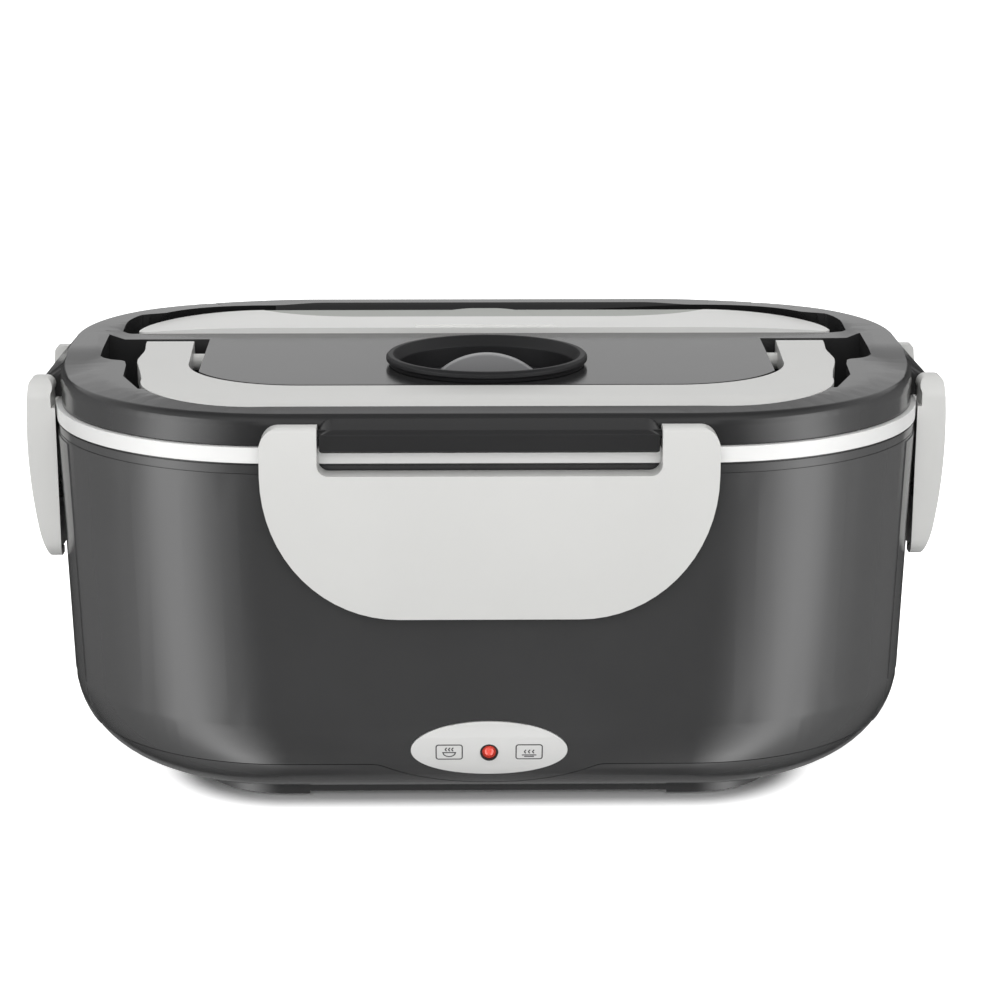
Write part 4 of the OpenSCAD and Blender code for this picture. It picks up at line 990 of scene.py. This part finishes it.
    @staticmethod
    def _seen(tree: bpy.types.NodeTree) -> bpy.types.NodeSocket:
        """Adds nodes that tell rays that show the backdrop from rays that light the box.

        Args:
            tree: The nodes of the world or of a stage material.

        Returns:
            A socket that is 1 for camera, glossy and transmission rays.
        """
        path = tree.nodes.new("ShaderNodeLightPath")
        first = tree.nodes.new("ShaderNodeMath")
        first.operation = "MAXIMUM"
        second = tree.nodes.new("ShaderNodeMath")
        second.operation = "MAXIMUM"
        tree.links.new(path.outputs["Is Camera Ray"], first.inputs[0])
        tree.links.new(path.outputs["Is Glossy Ray"], first.inputs[1])
        tree.links.new(first.outputs[0], second.inputs[0])
        tree.links.new(path.outputs["Is Transmission Ray"], second.inputs[1])
        return second.outputs[0]

    def _world(self) -> None:
        """Makes the sky: white where it is seen, a plain ambient level where it lights, a dark ceiling."""
        world = bpy.data.worlds.new("studio")
        bpy.context.scene.world = world
        world.use_nodes = True
        tree = world.node_tree
        shown = tree.nodes["Background"]
        shown.inputs["Strength"].default_value = 1.0
        ambient = tree.nodes.new("ShaderNodeBackground")
        ambient.inputs["Color"].default_value = (1.0, 1.0, 1.0, 1.0)
        ambient.inputs["Strength"].default_value = self.ambient
        pick = tree.nodes.new("ShaderNodeMixShader")
        tree.links.new(self._seen(tree), pick.inputs["Fac"])
        tree.links.new(ambient.outputs[0], pick.inputs[1])
        tree.links.new(shown.outputs[0], pick.inputs[2])
        tree.links.new(pick.outputs[0], tree.nodes["World Output"].inputs["Surface"])
        path = tree.nodes.new("ShaderNodeLightPath")
        place = tree.nodes.new("ShaderNodeTexCoord")
        parts = tree.nodes.new("ShaderNodeSeparateXYZ")
        height = tree.nodes.new("ShaderNodeMapRange")
        height.inputs["From Min"].default_value = -1.0
        ramp = self._ramp(tree, self.sky_glow)
        mix = tree.nodes.new("ShaderNodeMix")
        mix.data_type = "RGBA"
        mix.inputs["A"].default_value = (1, 1, 1, 1)
        tree.links.new(place.outputs["Generated"], parts.inputs[0])
        tree.links.new(parts.outputs["Z"], height.inputs["Value"])
        tree.links.new(height.outputs["Result"], ramp.inputs["Fac"])
        tree.links.new(path.outputs["Is Glossy Ray"], mix.inputs["Factor"])
        tree.links.new(ramp.outputs["Color"], mix.inputs["B"])
        tree.links.new(mix.outputs["Result"], shown.inputs["Color"])

    def _card(self, name: str, side: int) -> None:
        """Bends a bright card round one side: its glow rises and falls with the turn from the front.

        The card is part of a sphere about the box: its columns lie at even turns and its rows at given rises,
        each row a little turned.

        Args:
            name: The card's name.
            side: -1 for the left, 1 for the right.
        """
        first, last = self.card_glow[0][0], self.card_glow[-1][0]
        share = np.linspace(0.0, 1.0, self.card_columns)
        count = len(share)
        rise, shear, _ = np.array(self.card_rows).T
        turn = np.radians(first + (last - first) * share[None, :] + shear[:, None])
        lean = np.radians(np.broadcast_to(rise[:, None], turn.shape))
        flat = np.cos(lean)
        grid = np.stack([side * np.sin(turn) * flat, -np.cos(turn) * flat, np.sin(lean)], axis=2)
        grid = grid.reshape(-1, 3) * self.card_radius + (0, 0, self.aim_height)
        at = (np.arange(len(rise) - 1)[:, None] * count + np.arange(count - 1)).ravel()
        faces = np.column_stack([at, at + 1, at + 1 + count, at + count])
        mesh = bpy.data.meshes.new(name)
        mesh.from_pydata(grid.tolist(), [], faces.tolist())
        corner = faces.ravel()
        uv = np.column_stack([share[corner % count], (corner // count) / (len(rise) - 1)])
        mesh.uv_layers.new(name="UVMap").data.foreach_set("uv", uv.ravel())
        mesh.materials.append(self._card_glow(name))
        card = bpy.data.objects.new(name, mesh)
        bpy.context.scene.collection.objects.link(card)
        card.visible_camera = False
        card.visible_diffuse = False
        card.visible_shadow = False

    def _card_glow(self, name: str) -> bpy.types.Material:
        """Makes a card's light: the product of a ramp along its turns and a ramp down its rows.

        Args:
            name: The material's name.

        Returns:
            The material, which reads the card's own UV map.
        """
        material = bpy.data.materials.new(name)
        material.use_nodes = True
        tree = material.node_tree
        tree.nodes.remove(tree.nodes["Principled BSDF"])
        glow = tree.nodes.new("ShaderNodeEmission")
        place = tree.nodes.new("ShaderNodeTexCoord")
        parts = tree.nodes.new("ShaderNodeSeparateXYZ")
        first, last = self.card_glow[0][0], self.card_glow[-1][0]
        steps = len(self.card_rows) - 1
        turns = [((angle - first) / (last - first), level) for angle, level in self.card_glow]
        across = self._ramp(tree, turns)
        upright = self._ramp(tree, [(at / steps, row[2]) for at, row in enumerate(self.card_rows)])
        both = tree.nodes.new("ShaderNodeMath")
        both.operation = "MULTIPLY"
        scale = tree.nodes.new("ShaderNodeMath")
        scale.operation = "MULTIPLY"
        scale.inputs[1].default_value = self.card_strength
        tree.links.new(place.outputs["UV"], parts.inputs[0])
        tree.links.new(parts.outputs["X"], across.inputs["Fac"])
        tree.links.new(parts.outputs["Y"], upright.inputs["Fac"])
        tree.links.new(across.outputs["Color"], both.inputs[0])
        tree.links.new(upright.outputs["Color"], both.inputs[1])
        tree.links.new(both.outputs[0], scale.inputs[0])
        tree.links.new(scale.outputs[0], glow.inputs["Strength"])
        tree.links.new(glow.outputs[0], tree.nodes["Material Output"].inputs["Surface"])
        return material

    @staticmethod
    def _ramp(tree: bpy.types.NodeTree, stops: Sequence[Span]) -> bpy.types.Node:
        """Adds a grey ramp.

        Args:
            tree: The nodes to add it to.
            stops: Each stop's position and level, in order.

        Returns:
            The ramp's node.
        """
        ramp = tree.nodes.new("ShaderNodeValToRGB")
        marks = ramp.color_ramp.elements
        marks[0].position, marks[1].position = stops[0][0], stops[-1][0]
        marks[0].color = (*(stops[0][1],) * 3, 1.0)
        marks[1].color = (*(stops[-1][1],) * 3, 1.0)
        for position, level in stops[1:-1]:
            marks.new(position).color = (level, level, level, 1.0)
        return ramp

    def _lamp(self, name: str, place: Place, size: float, power: float) -> None:
        """Hangs a soft square lamp that looks at the box.

        Args:
            name: The lamp's name.
            place: Its centre.
            size: Its side.
            power: Its power in watts.
        """
        lamp = bpy.data.lights.new(name, "AREA")
        lamp.size = size
        lamp.energy = power
        holder = bpy.data.objects.new(name, lamp)
        bpy.context.scene.collection.objects.link(holder)
        holder.location = place
        away = Vector(place) - Vector((0, 0, self.aim_height))
        holder.rotation_euler = away.to_track_quat("Z", "Y").to_euler()
        holder.visible_camera = False
        holder.visible_glossy = False


# ---------------------------------------------------------------- the box


@dataclass
class LunchBox:
    """All the finishes and softened pieces of the box."""

    frame: dict
    palette: Palette

    def dress_nodes(self) -> None:
        """Gives every solid the finish that its record slot names, and gives the latch pins a darkened steel
        that paints the shade in the gaps beside the latch arms.
        """
        for row in self.frame["record"]["subparts"]:
            node = self.frame["nodes"][row["node"]]
            self.palette.dress(node, FINISHES[row["material_slot"]])
        # The latch pins' darkened steel paints the shade in the latch gaps.
        self.palette.dress(self.frame["nodes"]["latch_pins"], PIN_SHADE_STEEL)

    def soften(self) -> None:
        """Rounds the edges of the pieces that show."""
        for piece in (
            Handle("handle", HANDLE, 0.9 * MM, segments=4, slot=LIGHT.name),
            SoftEdges("latch_front", LIGHT, 0.45 * MM),
            SoftEdges("latch_rear", LIGHT, 0.45 * MM),
            SoftEdges("latch_left", LIGHT, 0.45 * MM),
            SoftEdges("latch_right", LIGHT, 0.45 * MM),
            CaseCover("case_cover", CASE, 0.35 * MM, flat=0.05, slot=LIGHT.name),
            SoftEdges("case_tray", CASE, 0.3 * MM, slot=LIGHT.name),
            # The lid gets the darker copy of the shell plastic, painted shade, in place of its shell_plastic
            # slot.
            LidShell("lid_shell", LID, 0.3 * MM, flat=0.02, slot=SHELL.name),
            SoftEdges("outer_shell", SHELL, 0.2 * MM),
            SoftEdges("base_cover", SHELL, 0.2 * MM),
            SoftEdges("inner_well", WHITE, 0.3 * MM),
            SoftEdges("panel_badge", BADGE, 0.2 * MM),
            SoftEdges("valve_collar", RUBBER, 0.2 * MM),
            SoftEdges("valve_plug", RUBBER, 0.2 * MM),
            SoftEdges("valve_grip", GREY, 0.3 * MM),
            SoftEdges("side_cup", WHITE, 0.3 * MM),
            SoftEdges("cup_lid", CUP_LID, 0.4 * MM),
            SoftEdges("food_tray", STEEL, 0.2 * MM),
        ):
            made = piece.build(self.frame, self.palette)
            LOG.info("softened %s: %d faces", piece.node, len(made.data.polygons))

    def print_signs(self) -> None:
        """Prints the badge's signs."""
        signs = BadgeSymbols().build(self.frame, self.palette)
        LOG.info("printed %s: %d faces", signs.name, len(signs.data.polygons))


def main() -> None:
    """Builds the dressed box and its studio."""
    logging.basicConfig(level=logging.INFO, format="%(name)s: %(message)s")
    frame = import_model()
    Studio().build()
    box = LunchBox(frame, Palette())
    box.dress_nodes()
    box.soften()
    box.print_signs()


if __name__ == "__main__":
    main()
